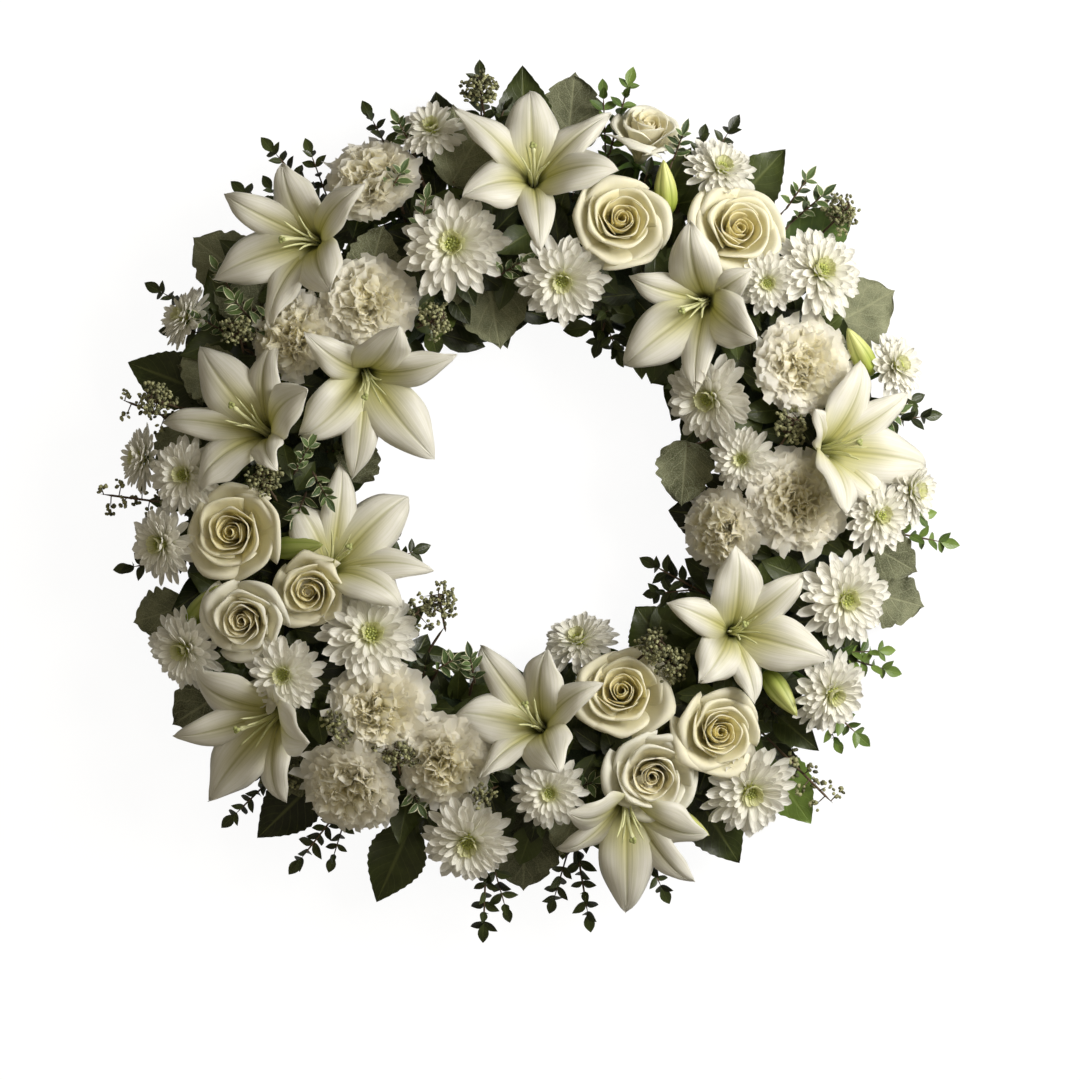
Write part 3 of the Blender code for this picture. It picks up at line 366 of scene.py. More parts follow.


# The last colour of each is the deep one: the real yellow of the heart, darkened further as painted shade.
ROSE_CREAM = rose_velvet("rose_petal_velvet_cream", "#fefbea", "#fbf7da", "#faf2c2")
ROSE_WHITE = rose_velvet("rose_petal_velvet_white", "#fefdf4", "#fcf9e6", "#fbf4d2")

# %% Carnation petals, matte ivory


def carnation_ivory():
    # Thin dry tissue: quite matte, and bright where light comes through the frill.
    material, tree, _, _, along, petal = begin("carnation_petal_matte_ivory")
    heart = add(tree, "Attribute", {}, "Fac", attribute_name="heart")
    share = add(tree, "MapRange", {0: heart, 1: 0.05, 2: 0.7})
    body = add(tree, "Mix", {0: share, 6: rgb("#fefadf"), 7: rgb("#fffefa")}, 2, **TINT)
    share = add(tree, "MapRange", {0: along, 1: 0.25, 2: 0.75}, **SMOOTH)
    colour = add(tree, "Mix", {0: share, 6: rgb("#fdf6d3"), 7: body}, 2, **TINT)
    # Creases about 1 mm apart on a fan 30 mm wide.
    drawn = add(tree, "Mapping", {0: petal, 3: (30.0, 1.6, 1.0)})
    creases = add(tree, "TexNoise", {"Vector": drawn, "Scale": 1.0, "Detail": 1.0})
    share = add(tree, "MapRange", {0: creases, 1: 0.45, 2: 0.75, 3: 0.0, 4: 0.22})
    colour = add(tree, "Mix", {0: share, 6: colour, 7: rgb("#faf4dc")}, 2, **TINT)
    edge = add(tree, "MapRange", {0: along, 1: 0.88, 2: 1.0, 3: 0.0, 4: 0.7})
    colour = add(tree, "Mix", {0: edge, 6: colour, 7: rgb("#fffdf8")}, 2, **TINT)
    tone = add(tree, "Attribute", {}, "Fac", attribute_name="tone")
    share = add(tree, "Math", {0: tone, 1: 0.35}, operation="MULTIPLY")
    colour = add(tree, "Mix", {0: share, 6: colour, 7: rgb("#fdf7dc")}, 2, **TINT)
    soft_surface(tree, colour, creases, 0.35, 0.8, 0.56)
    return material


CARNATION_IVORY = carnation_ivory()

# %% Chrysanthemum petals, white with a lime root


def mum_white():
    # Firm smooth petals with channels along them: clean white tips, and lime only where they leave the
    # eye.
    material, tree, _, middle, along, petal = begin("chrysanthemum_petal_white")
    heart = add(tree, "Attribute", {}, "Fac", attribute_name="heart")
    near = add(tree, "MapRange", {0: heart, 1: 0.0, 2: 0.5})
    root = add(tree, "Mix", {0: near, 6: rgb("#bfc658"), 7: rgb("#eeeed4")}, 2, **TINT)
    far = add(tree, "MapRange", {0: heart, 1: 0.0, 2: 0.32})
    tip = add(tree, "Mix", {0: far, 6: rgb("#dfe196"), 7: rgb("#fdfcf7")}, 2, **TINT)
    share = add(tree, "MapRange", {0: along, 1: 0.0, 2: 0.45}, **SMOOTH)
    colour = add(tree, "Mix", {0: share, 6: root, 7: tip}, 2, **TINT)
    # Five channels to a petal 6 mm wide.
    turns = add(tree, "Math", {0: middle, 1: 2.5 * math.tau}, operation="MULTIPLY")
    drawn = add(tree, "Mapping", {0: petal, 3: (9.0, 1.2, 1.0)})
    fine = add(tree, "TexNoise", {"Vector": drawn, "Scale": 1.0, "Detail": 1.0})
    channels = add(tree, "Math", {0: turns}, operation="SINE")
    lines = add(tree, "Math", {0: channels, 1: 0.3, 2: fine}, operation="MULTIPLY_ADD")
    share = add(tree, "MapRange", {0: lines, 1: 0.4, 2: 0.85, 3: 0.0, 4: 0.22})
    colour = add(tree, "Mix", {0: share, 6: colour, 7: rgb("#dfddcf")}, 2, **TINT)
    tone = add(tree, "Attribute", {}, "Fac", attribute_name="tone")
    share = add(tree, "Math", {0: tone, 1: 0.3}, operation="MULTIPLY")
    colour = add(tree, "Mix", {0: share, 6: colour, 7: rgb("#f0ecdc")}, 2, **TINT)
    soft_surface(tree, colour, lines, 0.4, 0.55, 0.36)
    return material


MUM_WHITE = mum_white()

# %% [markdown]
# ### Greens
# The eye of a chrysanthemum and a lily's throat, threads and buds are fresh green. The dark leaves are
# leathery with a waxy shine, which the light picks out along their folds. Dusty miller is covered in
# grey felt, so it has sheen and no shine. One of the small-leaved branches has cream edges.

# %% Fresh greens: eyes, throats, threads and stems


def fresh_green(name, first, second, dark, grain_size, roughness=0.5, through=0.15):
    # Juicy young tissue: slightly shiny, a little light comes through, and it is darker where it is
    # crowded.
    material, tree, place, *_ = begin(name)
    heart = add(tree, "Attribute", {}, "Fac", attribute_name="heart")
    tone = add(tree, "Attribute", {}, "Fac", attribute_name="tone")
    grain = add(tree, "TexNoise", {"Vector": place, "Scale": 1 / grain_size, "Detail": 2.0})
    colour = add(tree, "Mix", {0: grain, 6: rgb(first), 7: rgb(second)}, 2, **TINT)
    crowded = add(tree, "MapRange", {0: heart, 1: 0.0, 2: 0.5, 3: 0.85, 4: 0.0})
    colour = add(tree, "Mix", {0: crowded, 6: colour, 7: rgb(dark)}, 2, **TINT)
    share = add(tree, "Math", {0: tone, 1: 0.3}, operation="MULTIPLY")
    colour = add(tree, "Mix", {0: share, 6: colour, 7: rgb(second)}, 2, **TINT)
    soft_surface(tree, colour, grain, 0.4, roughness, through)
    return material


MUM_EYE = fresh_green("chrysanthemum_eye_lime", "#c2cc62", "#e3e69c", "#5d6f26", 2.4 * MM, 0.6)
LILY_THREAD = fresh_green("lily_thread_pale_green", "#efeecb", "#dadd9c", "#a3ab62", 6 * MM)
LILY_THROAT = fresh_green("lily_throat_green", "#7d8b37", "#5d6d27", "#3d4c1b", 5 * MM)
STEM_GREEN = fresh_green("flower_stem_green", "#5f7a39", "#4a652c", "#3c5425", 11 * MM)

# %% Lily buds, yellow-green with darker seams


def bud_green():
    # Six petals folded tight under their wax: a satin spindle, paler towards the tip, with a darker line
    # along every seam.
    material, tree, _, middle, along, petal = begin("lily_bud_yellow_green")
    tone = add(tree, "Attribute", {}, "Fac", attribute_name="tone")
    share = add(tree, "MapRange", {0: along, 1: 0.1, 2: 0.85}, **SMOOTH)
    colour = add(tree, "Mix", {0: share, 6: rgb("#a3b343"), 7: rgb("#e2e493")}, 2, **TINT)
    colour = add(tree, "Mix", {0: tone, 6: colour, 7: rgb("#6f7c3c")}, 2, **TINT)
    turns = add(tree, "Math", {0: middle, 1: 1.5 * math.tau}, operation="MULTIPLY")
    wave = add(tree, "Math", {0: turns}, operation="SINE")
    seam = add(tree, "Math", {0: wave}, operation="ABSOLUTE")
    share = add(tree, "MapRange", {0: seam, 1: 0.0, 2: 0.45, 3: 0.6, 4: 0.0})
    colour = add(tree, "Mix", {0: share, 6: colour, 7: rgb("#6c8029")}, 2, **TINT)
    drawn = add(tree, "Mapping", {0: petal, 3: (40.0, 1.5, 1.0)})
    veins = add(tree, "TexNoise", {"Vector": drawn, "Scale": 1.0, "Detail": 1.0})
    share = add(tree, "MapRange", {0: veins, 1: 0.45, 2: 0.7, 3: 0.0, 4: 0.3})
    colour = add(tree, "Mix", {0: share, 6: colour, 7: rgb("#8fa13c")}, 2, **TINT)
    soft_surface(tree, colour, veins, 0.3, 0.4, 0.12)
    return material


BUD_GREEN = bud_green()

# %% Leaves: dark, small, young and cream-edged


def leathery(name, dark, light, rib_colour, pairs, roughness, edge=None):
    # A thick leaf under a wax: broken highlights along the folds, paler veins pressed into it, and no two
    # leaves of quite the same green.
    material, tree, place, middle, along, _ = begin(name)
    tone = add(tree, "Attribute", {}, "Fac", attribute_name="tone")
    patch = add(tree, "TexNoise", {"Vector": place, "Scale": 1 / (11 * MM), "Detail": 2.0})
    mixed = add(tree, "Math", {0: tone, 1: patch})
    share = add(tree, "MapRange", {0: mixed, 1: 0.5, 2: 1.5})
    colour = add(tree, "Mix", {0: share, 6: rgb(dark), 7: rgb(light)}, 2, **TINT)
    swept = add(tree, "Math", {0: middle, 1: -0.28, 2: along}, operation="MULTIPLY_ADD")
    turns = add(tree, "Math", {0: swept, 1: pairs * math.tau}, operation="MULTIPLY")
    wave = add(tree, "Math", {0: turns}, operation="SINE")
    side_vein = add(tree, "MapRange", {0: wave, 1: 0.86, 2: 1.0, 3: 0.0, 4: 0.3})
    midrib = add(tree, "MapRange", {0: middle, 1: 0.02, 2: 0.09, 3: 1.0, 4: 0.0})
    line = add(tree, "Math", {0: midrib, 1: side_vein}, operation="MAXIMUM")
    fine = add(tree, "TexNoise", {"Vector": place, "Scale": 1 / (2.5 * MM), "Detail": 2.0})
    if edge:
        # The cream margin is under a millimetre wide and ragged.
        ragged = add(tree, "Math", {0: fine, 1: 0.4, 2: middle}, operation="MULTIPLY_ADD")
        share = add(tree, "MapRange", {0: ragged, 1: 0.98, 2: 1.06, 3: 0.0, 4: 0.9})
        colour = add(tree, "Mix", {0: share, 6: colour, 7: rgb(edge)}, 2, **TINT)
    share = add(tree, "Math", {0: line, 1: 0.45}, operation="MULTIPLY")
    colour = add(tree, "Mix", {0: share, 6: colour, 7: rgb(rib_colour)}, 2, **TINT)
    height = add(tree, "Math", {0: line, 1: -1.2, 2: fine}, operation="MULTIPLY_ADD")
    soft_surface(tree, colour, height, 0.45, roughness, 0.0)
    return material


LEAF_DARK = leathery("lemon_leaf_waxy_dark", "#1c230d", "#4a5528", "#747c48", 9, 0.36)
LEAF_SMALL = leathery("boxwood_leaf_glossy", "#1a200e", "#414b25", "#5f6638", 6, 0.34)
LEAF_EDGED = leathery("pittosporum_leaf_cream_edged", "#36482a", "#5b7040", "#84935c", 6, 0.42, "#d9d8b4")
# A lighter copy of the leaf green for the lit right side of the rim: painted light.
LEAF_PAINTED_LIT = leathery("leaf_green_painted_lit", "#42582b", "#728a40", "#8fa055", 6, 0.36)

# %% Dusty miller, green tissue under grey felt


def felted():
    # Thousands of white hairs lie on a green leaf. The eye sees pale grey with no shine, greener where
    # the felt is thin, and a bright edge against the light.
    material, tree, place, middle, along, _ = begin("dusty_miller_grey_felt")
    tone = add(tree, "Attribute", {}, "Fac", attribute_name="tone")
    patch = add(tree, "TexNoise", {"Vector": place, "Scale": 1 / (14 * MM), "Detail": 2.0})
    mixed = add(tree, "Math", {0: tone, 1: 0.4, 2: patch}, operation="MULTIPLY_ADD")
    share = add(tree, "MapRange", {0: mixed, 1: 0.4, 2: 1.0})
    colour = add(tree, "Mix", {0: share, 6: rgb("#4a4d35"), 7: rgb("#888b6d")}, 2, **TINT)
    swept = add(tree, "Math", {0: middle, 1: -0.5, 2: along}, operation="MULTIPLY_ADD")
    turns = add(tree, "Math", {0: swept, 1: 5 * math.tau}, operation="MULTIPLY")
    wave = add(tree, "Math", {0: turns}, operation="SINE")
    side_vein = add(tree, "MapRange", {0: wave, 1: 0.88, 2: 1.0, 3: 0.0, 4: 0.6})
    midrib = add(tree, "MapRange", {0: middle, 1: 0.01, 2: 0.06, 3: 1.0, 4: 0.0})
    rib = add(tree, "Math", {0: midrib, 1: side_vein}, operation="MAXIMUM")
    share = add(tree, "Math", {0: rib, 1: 0.5}, operation="MULTIPLY")
    colour = add(tree, "Mix", {0: share, 6: colour, 7: rgb("#a5a785")}, 2, **TINT)
    # The hairs are some 0.1 mm apart. They are drawn 0.7 mm apart, so that they show.
    hairs = add(tree, "TexNoise", {"Vector": place, "Scale": 1 / (0.7 * MM), "Detail": 0.0})
    share = add(tree, "MapRange", {0: hairs, 1: 0.4, 2: 0.7, 3: 0.0, 4: 0.3})
    colour = add(tree, "Mix", {0: share, 6: colour, 7: rgb("#b1b396")}, 2, **TINT)
    quilt = add(tree, "TexNoise", {"Vector": place, "Scale": 1 / (4 * MM), "Detail": 2.0})
    height = add(tree, "Math", {0: rib, 1: -1.5, 2: hairs}, operation="MULTIPLY_ADD")
    height = add(tree, "Math", {0: quilt, 1: 2.5, 2: height}, operation="MULTIPLY_ADD")
    soft_surface(tree, colour, height, 0.6, 0.9, 0.12, sheen=0.35)
    return material


DUSTY_FELT = felted()

# %% Seeds and twigs


def speckled(name, first, second, speck_size, roughness, relief):
    # Hard dry skin: dull, with small pale specks, and each piece of its own shade.
    material, tree, place, *_ = begin(name)
    tone = add(tree, "Attribute", {}, "Fac", attribute_name="tone")
    speck = add(tree, "TexNoise", {"Vector": place, "Scale": 1 / speck_size, "Detail": 2.0})
    mixed = add(tree, "Math", {0: tone, 1: speck})
    share = add(tree, "MapRange", {0: mixed, 1: 0.45, 2: 1.45})
    colour = add(tree, "Mix", {0: share, 6: rgb(first), 7: rgb(second)}, 2, **TINT)
    soft_surface(tree, colour, speck, relief, roughness, 0.0)
    return material


SEED_COAT = speckled("eucalyptus_seed_bronze_green", "#3b3d27", "#a7a77c", 1.7 * MM, 0.55, 0.5)
TWIG_BARK = speckled("twig_bark_brown", "#33291f", "#665340", 2 * MM, 0.7, 0.6)

# %% [markdown]
# ### Tray and foam
# Both are hidden in the photograph. The tray is moulded polypropylene, dark green, and the foam is
# phenolic foam soaked dark. They could stay plain, but both show from the back and the side.

# %% Tray plastic and wet foam


def tray_plastic():
    # Polypropylene from a spark-eroded mould: a satin skin whose fine grain breaks up the highlights.
    material, tree, place, *_ = begin("tray_moulded_polypropylene")
    cloud = add(tree, "TexNoise", {"Vector": place, "Scale": 1 / (33 * MM), "Detail": 2.0})
    colour = add(tree, "Mix", {0: cloud, 6: rgb("#17261b"), 7: rgb("#22352a")}, 2, **TINT)
    # Grain of 0.4 mm, twice the real size, so that it shows.
    grain = add(tree, "TexNoise", {"Vector": place, "Scale": 1 / (0.4 * MM), "Detail": 2.0})
    normal = add(tree, "Bump", {"Strength": 0.25, "Distance": 0.15 * MM, "Height": grain})
    rough = add(tree, "MapRange", {0: cloud, 1: 0.3, 2: 0.7, 3: 0.38, 4: 0.52})
    solid = add(tree, "BsdfPrincipled", {
        "Base Color": colour, "Roughness": rough, "Normal": normal, "IOR": 1.49,
    })
    add(tree, "OutputMaterial", {"Surface": solid})
    return material


def wet_foam():
    # Open cells full of water: dull dark green, pitted all over, with painted shade darkening each pit. Cells of
    # 0.5 mm are drawn at 1.1 mm, so that they show.
    material, tree, place, *_ = begin("floral_foam_wet_green")
    cells = add(tree, "TexVoronoi", {"Vector": place, "Scale": 1 / (1.1 * MM)}, "Distance")
    cloud = add(tree, "TexNoise", {"Vector": place, "Scale": 1 / (17 * MM), "Detail": 2.0})
    colour = add(tree, "Mix", {0: cloud, 6: rgb("#1d2b17"), 7: rgb("#2d3f20")}, 2, **TINT)
    # Painted shade: the colour darkens towards the bottom of each pit.
    share = add(tree, "MapRange", {0: cells, 1: 0.0, 2: 0.5, 3: 0.6, 4: 0.0})
    colour = add(tree, "Mix", {0: share, 6: colour, 7: rgb("#10190d")}, 2, **TINT)
    normal = add(tree, "Bump", {"Strength": 0.8, "Distance": 0.6 * MM, "Height": cells})
    solid = add(tree, "BsdfPrincipled", {"Base Color": colour, "Roughness": 0.7, "Normal": normal})
    add(tree, "OutputMaterial", {"Surface": solid})
    return material


for node, material in (("base_tray", tray_plastic()), ("foam_ring", wet_foam())):
    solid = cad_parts[node]
    solid.data.materials.clear()
    solid.data.materials.append(material)
print("materials:", len(bpy.data.materials))

# %% [markdown]
# ## Stems
# Each flower stands on its own stem, which runs into its hole in the foam. The solids already have these
# holes, so the stems end at the same points: straight below a flower over the foam, and through the
# foam's side for a flower that hangs past its edge.

# %% Stems into the foam
STEM_DEPTH, SIDE_HOLES_LOW, SIDE_HOLES_HIGH = 14 * MM, 27 * MM, 40 * MM


def foam_target(base):
    """Where the stem of a flower with this base ends inside the foam."""
    radius, angle = math.hypot(base.x, base.y), math.degrees(math.atan2(base.y, base.x))
    innermost, outermost = FOAM_INNER_R + STEM_DEPTH, FOAM_OUTER_R - STEM_DEPTH
    if FOAM_INNER_R - 2 * MM < radius < FOAM_OUTER_R + 2 * MM:
        return polar(max(innermost, min(outermost, radius)), angle, FOAM_TOP - STEM_DEPTH)
    height = max(SIDE_HOLES_LOW, min(SIDE_HOLES_HIGH, base.z - 12 * MM))
    return polar(outermost if radius > MOUND_R else innermost, angle, height)


def lay_stem(bm, matrix, finish, radius=2.2, up=5):
    """A stem of this radius in mm from the foam to up mm inside a flower's base."""
    top = matrix @ Vector((0, 0, up * MM))
    low = foam_target(matrix.translation)
    path = bow(low, top, (matrix.translation - low).cross(UP) * 0.04, 7)
    lay_rod(bm, path, radius * MM, 8, finish, heart=0.8)


# %% [markdown]
# ## Lilies
# White lilies whose anthers have been cut off, so that no pollen stains the petals. Three broad petals
# lie over three narrow ones. They rise from a green throat in a funnel and roll back at their tips. A
# lathe would make them all alike, so each petal here has the angle, length and bend that the photograph
# shows, and the formula gives it its groove, its folded-back edges and a slight wave.

# %% Where the lilies are
# x, y of the throat in mm, lean, the way it leans, which petals are broad, bud (x, y, the way it points,
# how dark), then angle, length and bend of each petal.
LILIES = {
    "lily_01": (-164, 189, 26, 170, 1, None, (
        (33, 78, 0), (105, 66, 0), (150, 86, -20), (204, 86, 0), (252, 84, 0), (309, 72, -20))),
    "lily_02": (3, 238, 24, 85, 1, None, (
        (36, 82, 0), (93, 76, 0), (144, 86, 0), (207, 70, 0), (273, 82, 10), (351, 78, -20))),
    "lily_03": (121, 140, 20, 212, 1, (98, 224, 95, 0.0), (
        (33, 60, 0), (93, 74, 0), (158, 68, 0), (219, 86, 0), (270, 78, -10), (336, 72, -30))),
    "lily_04": (-199, 55, 34, 145, 0, None, (
        (12, 74, -20), (76, 78, 0), (126, 88, 0), (177, 88, 0), (234, 76, 0), (306, 68, -20))),
    "lily_05": (-116, 84, 26, 290, 1, None, (
        (21, 80, 0), (72, 78, -30), (138, 78, 0), (216, 78, 0), (260, 88, 0), (312, 86, -10))),
    "lily_06": (-139, -41, 33, 60, 0, (-170, -34, 5, 0.75), (
        (42, 90, 0), (88, 88, -10), (128, 62, 0), (220, 44, 40), (318, 74, 0), (350, 84, 0))),
    "lily_07": (224, 38, 38, 8, 1, (240, 106, 120, 0.1), (
        (38, 82, -10), (78, 78, 0), (146, 58, -30), (246, 76, -30), (306, 76, 0), (350, 90, 0))),
    "lily_08": (151, -94, 14, 12, 1, (180, -138, 305, 0.35), (
        (42, 78, 0), (96, 76, -10), (160, 74, 0), (229, 60, -10), (281, 64, 0), (342, 80, 0))),
    "lily_09": (1, -158, 28, 136, 1, None, (
        (21, 76, -10), (75, 66, -20), (126, 84, 0), (176, 70, -10), (234, 68, -10), (304, 72, -20))),
    "lily_10": (-192, -160, 43, 212, 0, None, (
        (3, 78, -20), (60, 50, -20), (145, 78, 0), (188, 88, -30), (234, 90, -10), (278, 78, 10))),
    "lily_11": (70, -230, 42, 273, 0, (110, -233, 335, 0.1), (
        (352, 70, 0), (60, 38, 45), (150, 68, -30), (205, 70, -10), (270, 90, -10), (315, 88, -10))),
}
LILY_FINISHES = (LILY_WHITE, LILY_THROAT, LILY_THREAD, STEM_GREEN, BUD_GREEN)
PETAL, THROAT, THREAD, LILY_STEM, BUD = range(5)
print(len(LILIES), "lilies")

# %% A lily petal's middle line


def bent_line(length, start, end, curl=0.0, steps=48):
    """Radius, height and slope along a line whose angle to the axis goes from start to end, and which
    curls at its tip."""
    line = [(0.0, 0.0, math.radians(start))]
    for i in range(1, steps + 1):
        along = (i - 0.5) / steps
        slope = math.radians(start + (end - start) * along + curl * (max(0.0, along - 0.66) / 0.34) ** 1.6)
        radius, height, _ = line[-1]
        run, rise = length / steps * math.sin(slope), length / steps * math.cos(slope)
        line.append((radius + run, height + rise, slope))
    return line


def on_line(line, along):
    """The place on such a line."""
    at = min(max(along, 0.0), 1.0) * (len(line) - 1)
    low = min(int(at), len(line) - 2)
    share = at - low
    return [a + (b - a) * share for a, b in zip(line[low], line[low + 1])]


def lily_petal(bm, matrix, angle, length, bend, broad, draw):
    """One petal: a grooved funnel at its root that opens into a pointed blade with rolled edges."""
    line = bent_line(length * MM, 20, 100 + bend, curl=draw.uniform(10, 62))
    half = (20.5 if broad else 13.5) * MM * min(1.0, 0.45 + length / 140)
    drop = 0 if broad else -2.6 * MM
    phase, wave, twist = draw.uniform(0, 6.3), draw.uniform(1.2, 2.8) * MM, draw.uniform(-0.16, 0.16)
    outward, sideways = polar(1, angle), polar(1, angle + 90)

    def place(side, up):
        along = up ** 0.9
        radius, height, slope = on_line(line, along)
        # A narrow claw that widens to the blade, which ends in a point.
        wide = half * (math.sin(math.pi * min(1, along ** 0.92)) ** 0.74) * (1 - 0.2 * along ** 4) + 0.2 * MM
        wide = max(wide, 2.6 * MM * (1 - along / 0.3)) if along < 0.3 else wide
        # Cupped in the funnel and arched further out, with its edges folded back.
        cup = 0.6 - 1.15 * min(1, along / 0.7)
        fold = 0.16 * max(0.0, abs(side) - 0.7) / 0.3 * min(1, 2 * along)
        lift = wide * cup * side * side * 0.5 - wide * fold
        # The groove down its middle.
        groove = math.exp(-((side * wide / (1.7 * MM)) ** 2)) * math.sin(math.pi * min(1, along * 1.05)) ** 0.5
        lift -= 1.9 * MM * groove
        # A slight wave of its edges and a slight twist.
        lift += wave * side * abs(side) * math.sin(math.tau * 2.1 * along + phase + side) * min(1, along * 2)
        lift += twist * side * wide
        middle = outward * (radius + 3 * MM) + Vector((0, 0, height + 6 * MM + drop * min(1, along * 3)))
        return matrix @ (middle - sideways * side * wide + facing(outward, slope) * lift)

    lay_sheet(bm, 12, 18, place, PETAL, heart=1.0, tone=draw.random())


# %% Threads, style and throat of a lily


def lily_middle(bm, matrix, draw):
    """The green funnel floor, six threads without anthers and the style with its three-lobed tip."""
    lay_turned(bm, matrix, ((-4, 0), (-2, 2.5), (1, 4.6), (4, 4.2), (7, 2.4), (8.5, 0)), 12, THROAT, heart=0.3)
    for index in range(6):
        angle = 60 * index + draw.uniform(-14, 14)
        lean, reach = draw.uniform(10, 20), draw.uniform(40, 49)
        start = matrix @ (polar(2.4 * MM, angle) + Vector((0, 0, 4 * MM)))
        tip = matrix @ (leaning(lean, angle) * reach * MM + Vector((0, 0, 5 * MM)))
        path = bow(start, tip, (matrix.to_3x3() @ polar(1, angle)) * -2.6 * MM, 8)
        radii = [1.0 * MM, 0.95 * MM] + [0.8 * MM] * 5 + [0.65 * MM, 0]
        lay_stalk(bm, path, radii, 6, THREAD, heart=0.8, tone=draw.random())
    angle = draw.uniform(0, 360)
    start, tip = matrix @ Vector((0, 0, 4 * MM)), matrix @ (leaning(6, angle) * 54 * MM)
    path = bow(start, tip, (matrix.to_3x3() @ polar(1, angle)) * -2 * MM, 10)
    radii = [1.6 * MM] + [1.25 * MM] * 8 + [1.9 * MM, 0]
    lay_stalk(bm, path, radii, 8, THREAD, heart=0.6, tone=0.2)
    for lobe in range(3):
        knob = Matrix.Translation(tip + (matrix.to_3x3() @ polar(1.3 * MM, 120 * lobe + angle)))
        lay_grain(bm, knob, 1.7 * MM, THREAD, heart=0.0, tone=0.0, smoothness=2)


BUD_LENGTH, BUD_RADIUS = 44 * MM, 9.6 * MM


def lily_bud(bm, seat, tip, finish, dark):
    """A closed bud: six petals folded into a spindle with a groove between each pair."""
    run = tip - seat
    turn = Matrix.Translation(seat) @ run.to_track_quat("Z", "Y").to_matrix().to_4x4()

    def place(side, up):
        body = math.sin(math.pi * up ** 0.8) ** 0.75 * (1 - 0.25 * up)
        ridge = 0.9 + 0.16 * abs(math.sin(3 * math.pi * side))
        return turn @ polar(BUD_RADIUS * body * ridge, 180 * side, run.length * up)

    lay_sheet(bm, 24, 14, place, finish, heart=1.0, tone=dark)


# %% Make the lilies
draw = random.Random(3)
for name, (x, y, lean, toward, parity, bud, petals) in LILIES.items():
    bm = new_piece()
    matrix = head_frame(x, y, lean, toward, eye=20, lift=-8)
    for index, (angle, length, bend) in enumerate(petals):
        lily_petal(bm, matrix, angle, length, bend, index % 2 == parity, draw)
    thicken(bm, 0.7 * MM)
    lily_middle(bm, matrix, draw)
    lay_stem(bm, matrix, LILY_STEM, 2.6, 0)
    if bud:
        bud_x, bud_y, bud_toward, dark = bud
        along = leaning(64, bud_toward)
        seat = mound_point(bud_x * MM, bud_y * MM) - Vector((0, 0, 13 * MM)) - along * 20 * MM
        lily_bud(bm, seat, seat + along * BUD_LENGTH, BUD, dark)
        path = bow(foam_target(seat), seat + Vector((0, 0, 2 * MM)), Vector((0, 0, 4 * MM)), 5)
        lay_rod(bm, path, 1.7 * MM, 8, LILY_STEM, heart=0.8)
    finish_piece(bm, name + "_flower", LILY_FINISHES, [name])
print("lilies done, triangles so far", total["triangles"])

# %% [markdown]
# ## Roses
# Cut roses, half open: a tight spiral bud in a cup of outer petals whose lips roll back. Each new petal
# grows about 137 degrees round from the one before, which is the turn that real petals take, so the
# lips overlap in the pattern that one sees on a real rose.

# %% Where the roses are
# x, y of the heart in mm, radius, lean, the way it leans, colour.
ROSES = {
    "rose_01": (86, 272, 27, 50, 75, "white"), "rose_02": (66, 202, 34, 12, 60, "cream"),
    "rose_03": (151, 196, 34, 20, 50, "cream"), "rose_04": (-215, -23, 35, 15, 180, "cream"),
    "rose_05": (-159, -66, 26, 12, 235, "cream"), "rose_06": (-207, -87, 30, 15, 215, "white"),
    "rose_07": (66, -137, 34, 15, 110, "cream"), "rose_08": (137, -167, 31, 15, 10, "cream"),
    "rose_09": (88, -199, 33, 10, 280, "white"),
}

# %% A rose petal


# Rows from the heart outwards: how many petals, rim radius of the first and the last as a share of the
# rose's, half the turn that a petal covers, height of the rim in mm, how wide its lip rolls in mm, and
# how much narrower its waist is than its rim.
ROSE_ROWS = (
    (3, 0.08, 0.15, 128, 39.5, 0.3, 0.95),
    (4, 0.21, 0.31, 86, 41.0, 0.4, 0.9),
    (5, 0.38, 0.48, 70, 42.0, 0.7, 0.78),
    (4, 0.58, 0.68, 68, 40.0, 1.6, 0.66),
    (6, 0.80, 0.95, 56, 34.0, 3.6, 0.58),
)
# A rose and a carnation have two materials, and the second is on all that is green.
CUP = 1


def rose_petal(bm, matrix, angle, share, rim, spread, top, roll, waist, draw):
    """A cupped petal. Near the heart it is a scroll. Further out its lip rolls back to a soft point."""
    angle += draw.uniform(-14, 14)
    top += draw.uniform(-1.4, 1.4)
    tilt, phase = draw.uniform(-2.0, 2.0) * MM * (0.4 + share), draw.uniform(0, 6.3)
    point, slack = draw.uniform(0.4, 3.0) * MM * share, draw.uniform(0.6, 1.6) * share
    belly = max(rim * waist, 3.6 * MM)

    def place(side, up):
        turn = angle - side * spread
        corner = abs(side) ** 2.6
        reach = min(1.0, up / 0.72)
        rise = reach ** 0.7 * (1 - (0.10 + 0.2 * share) * corner * reach)
        # A rounded cup that opens above its waist.
        out = 3 * MM + (belly - 3 * MM) * math.sin(min(1.0, reach * 1.4) * math.pi / 2)
        out += (rim - belly) * (max(0.0, reach - 0.35) / 0.65) ** 1.3
        # Each petal tucks one edge under the one before and lays the other over it.
        out += side * (0.09 * rim + 0.5 * MM) * reach
        out += 0.035 * rim * math.cos(2.0 * math.pi * side) * reach * (1.3 - share)
        out += 1.0 * MM * slack * math.sin(3.3 * side + phase) * reach
        height = 3 * MM + (top * MM - 3 * MM) * rise + tilt * side * reach
        # The lip rolls out and down, least at the corners.
        over = max(0.0, up - 0.72) / 0.28
        curl = roll * MM * (1 - 0.55 * corner) * (1 + 0.35 * slack * math.sin(2.2 * side + 2 * phase))
        bend = over * math.radians(80 + 60 * share)
        out += curl * (math.sin(bend) * 0.45 + (1 - math.cos(bend)) * 0.5)
        height += curl * (math.sin(bend) * 0.3 - (1 - math.cos(bend)) * 0.4)
        out += point * over * math.exp(-((side / 0.2) ** 2))
        height -= 0.7 * point * over * over * math.exp(-((side / 0.3) ** 2))
        return matrix @ polar(out, turn, height)

    lay_sheet(bm, 16, 12, place, PETAL, heart=share, tone=draw.random())


# %% A sepal under a rose


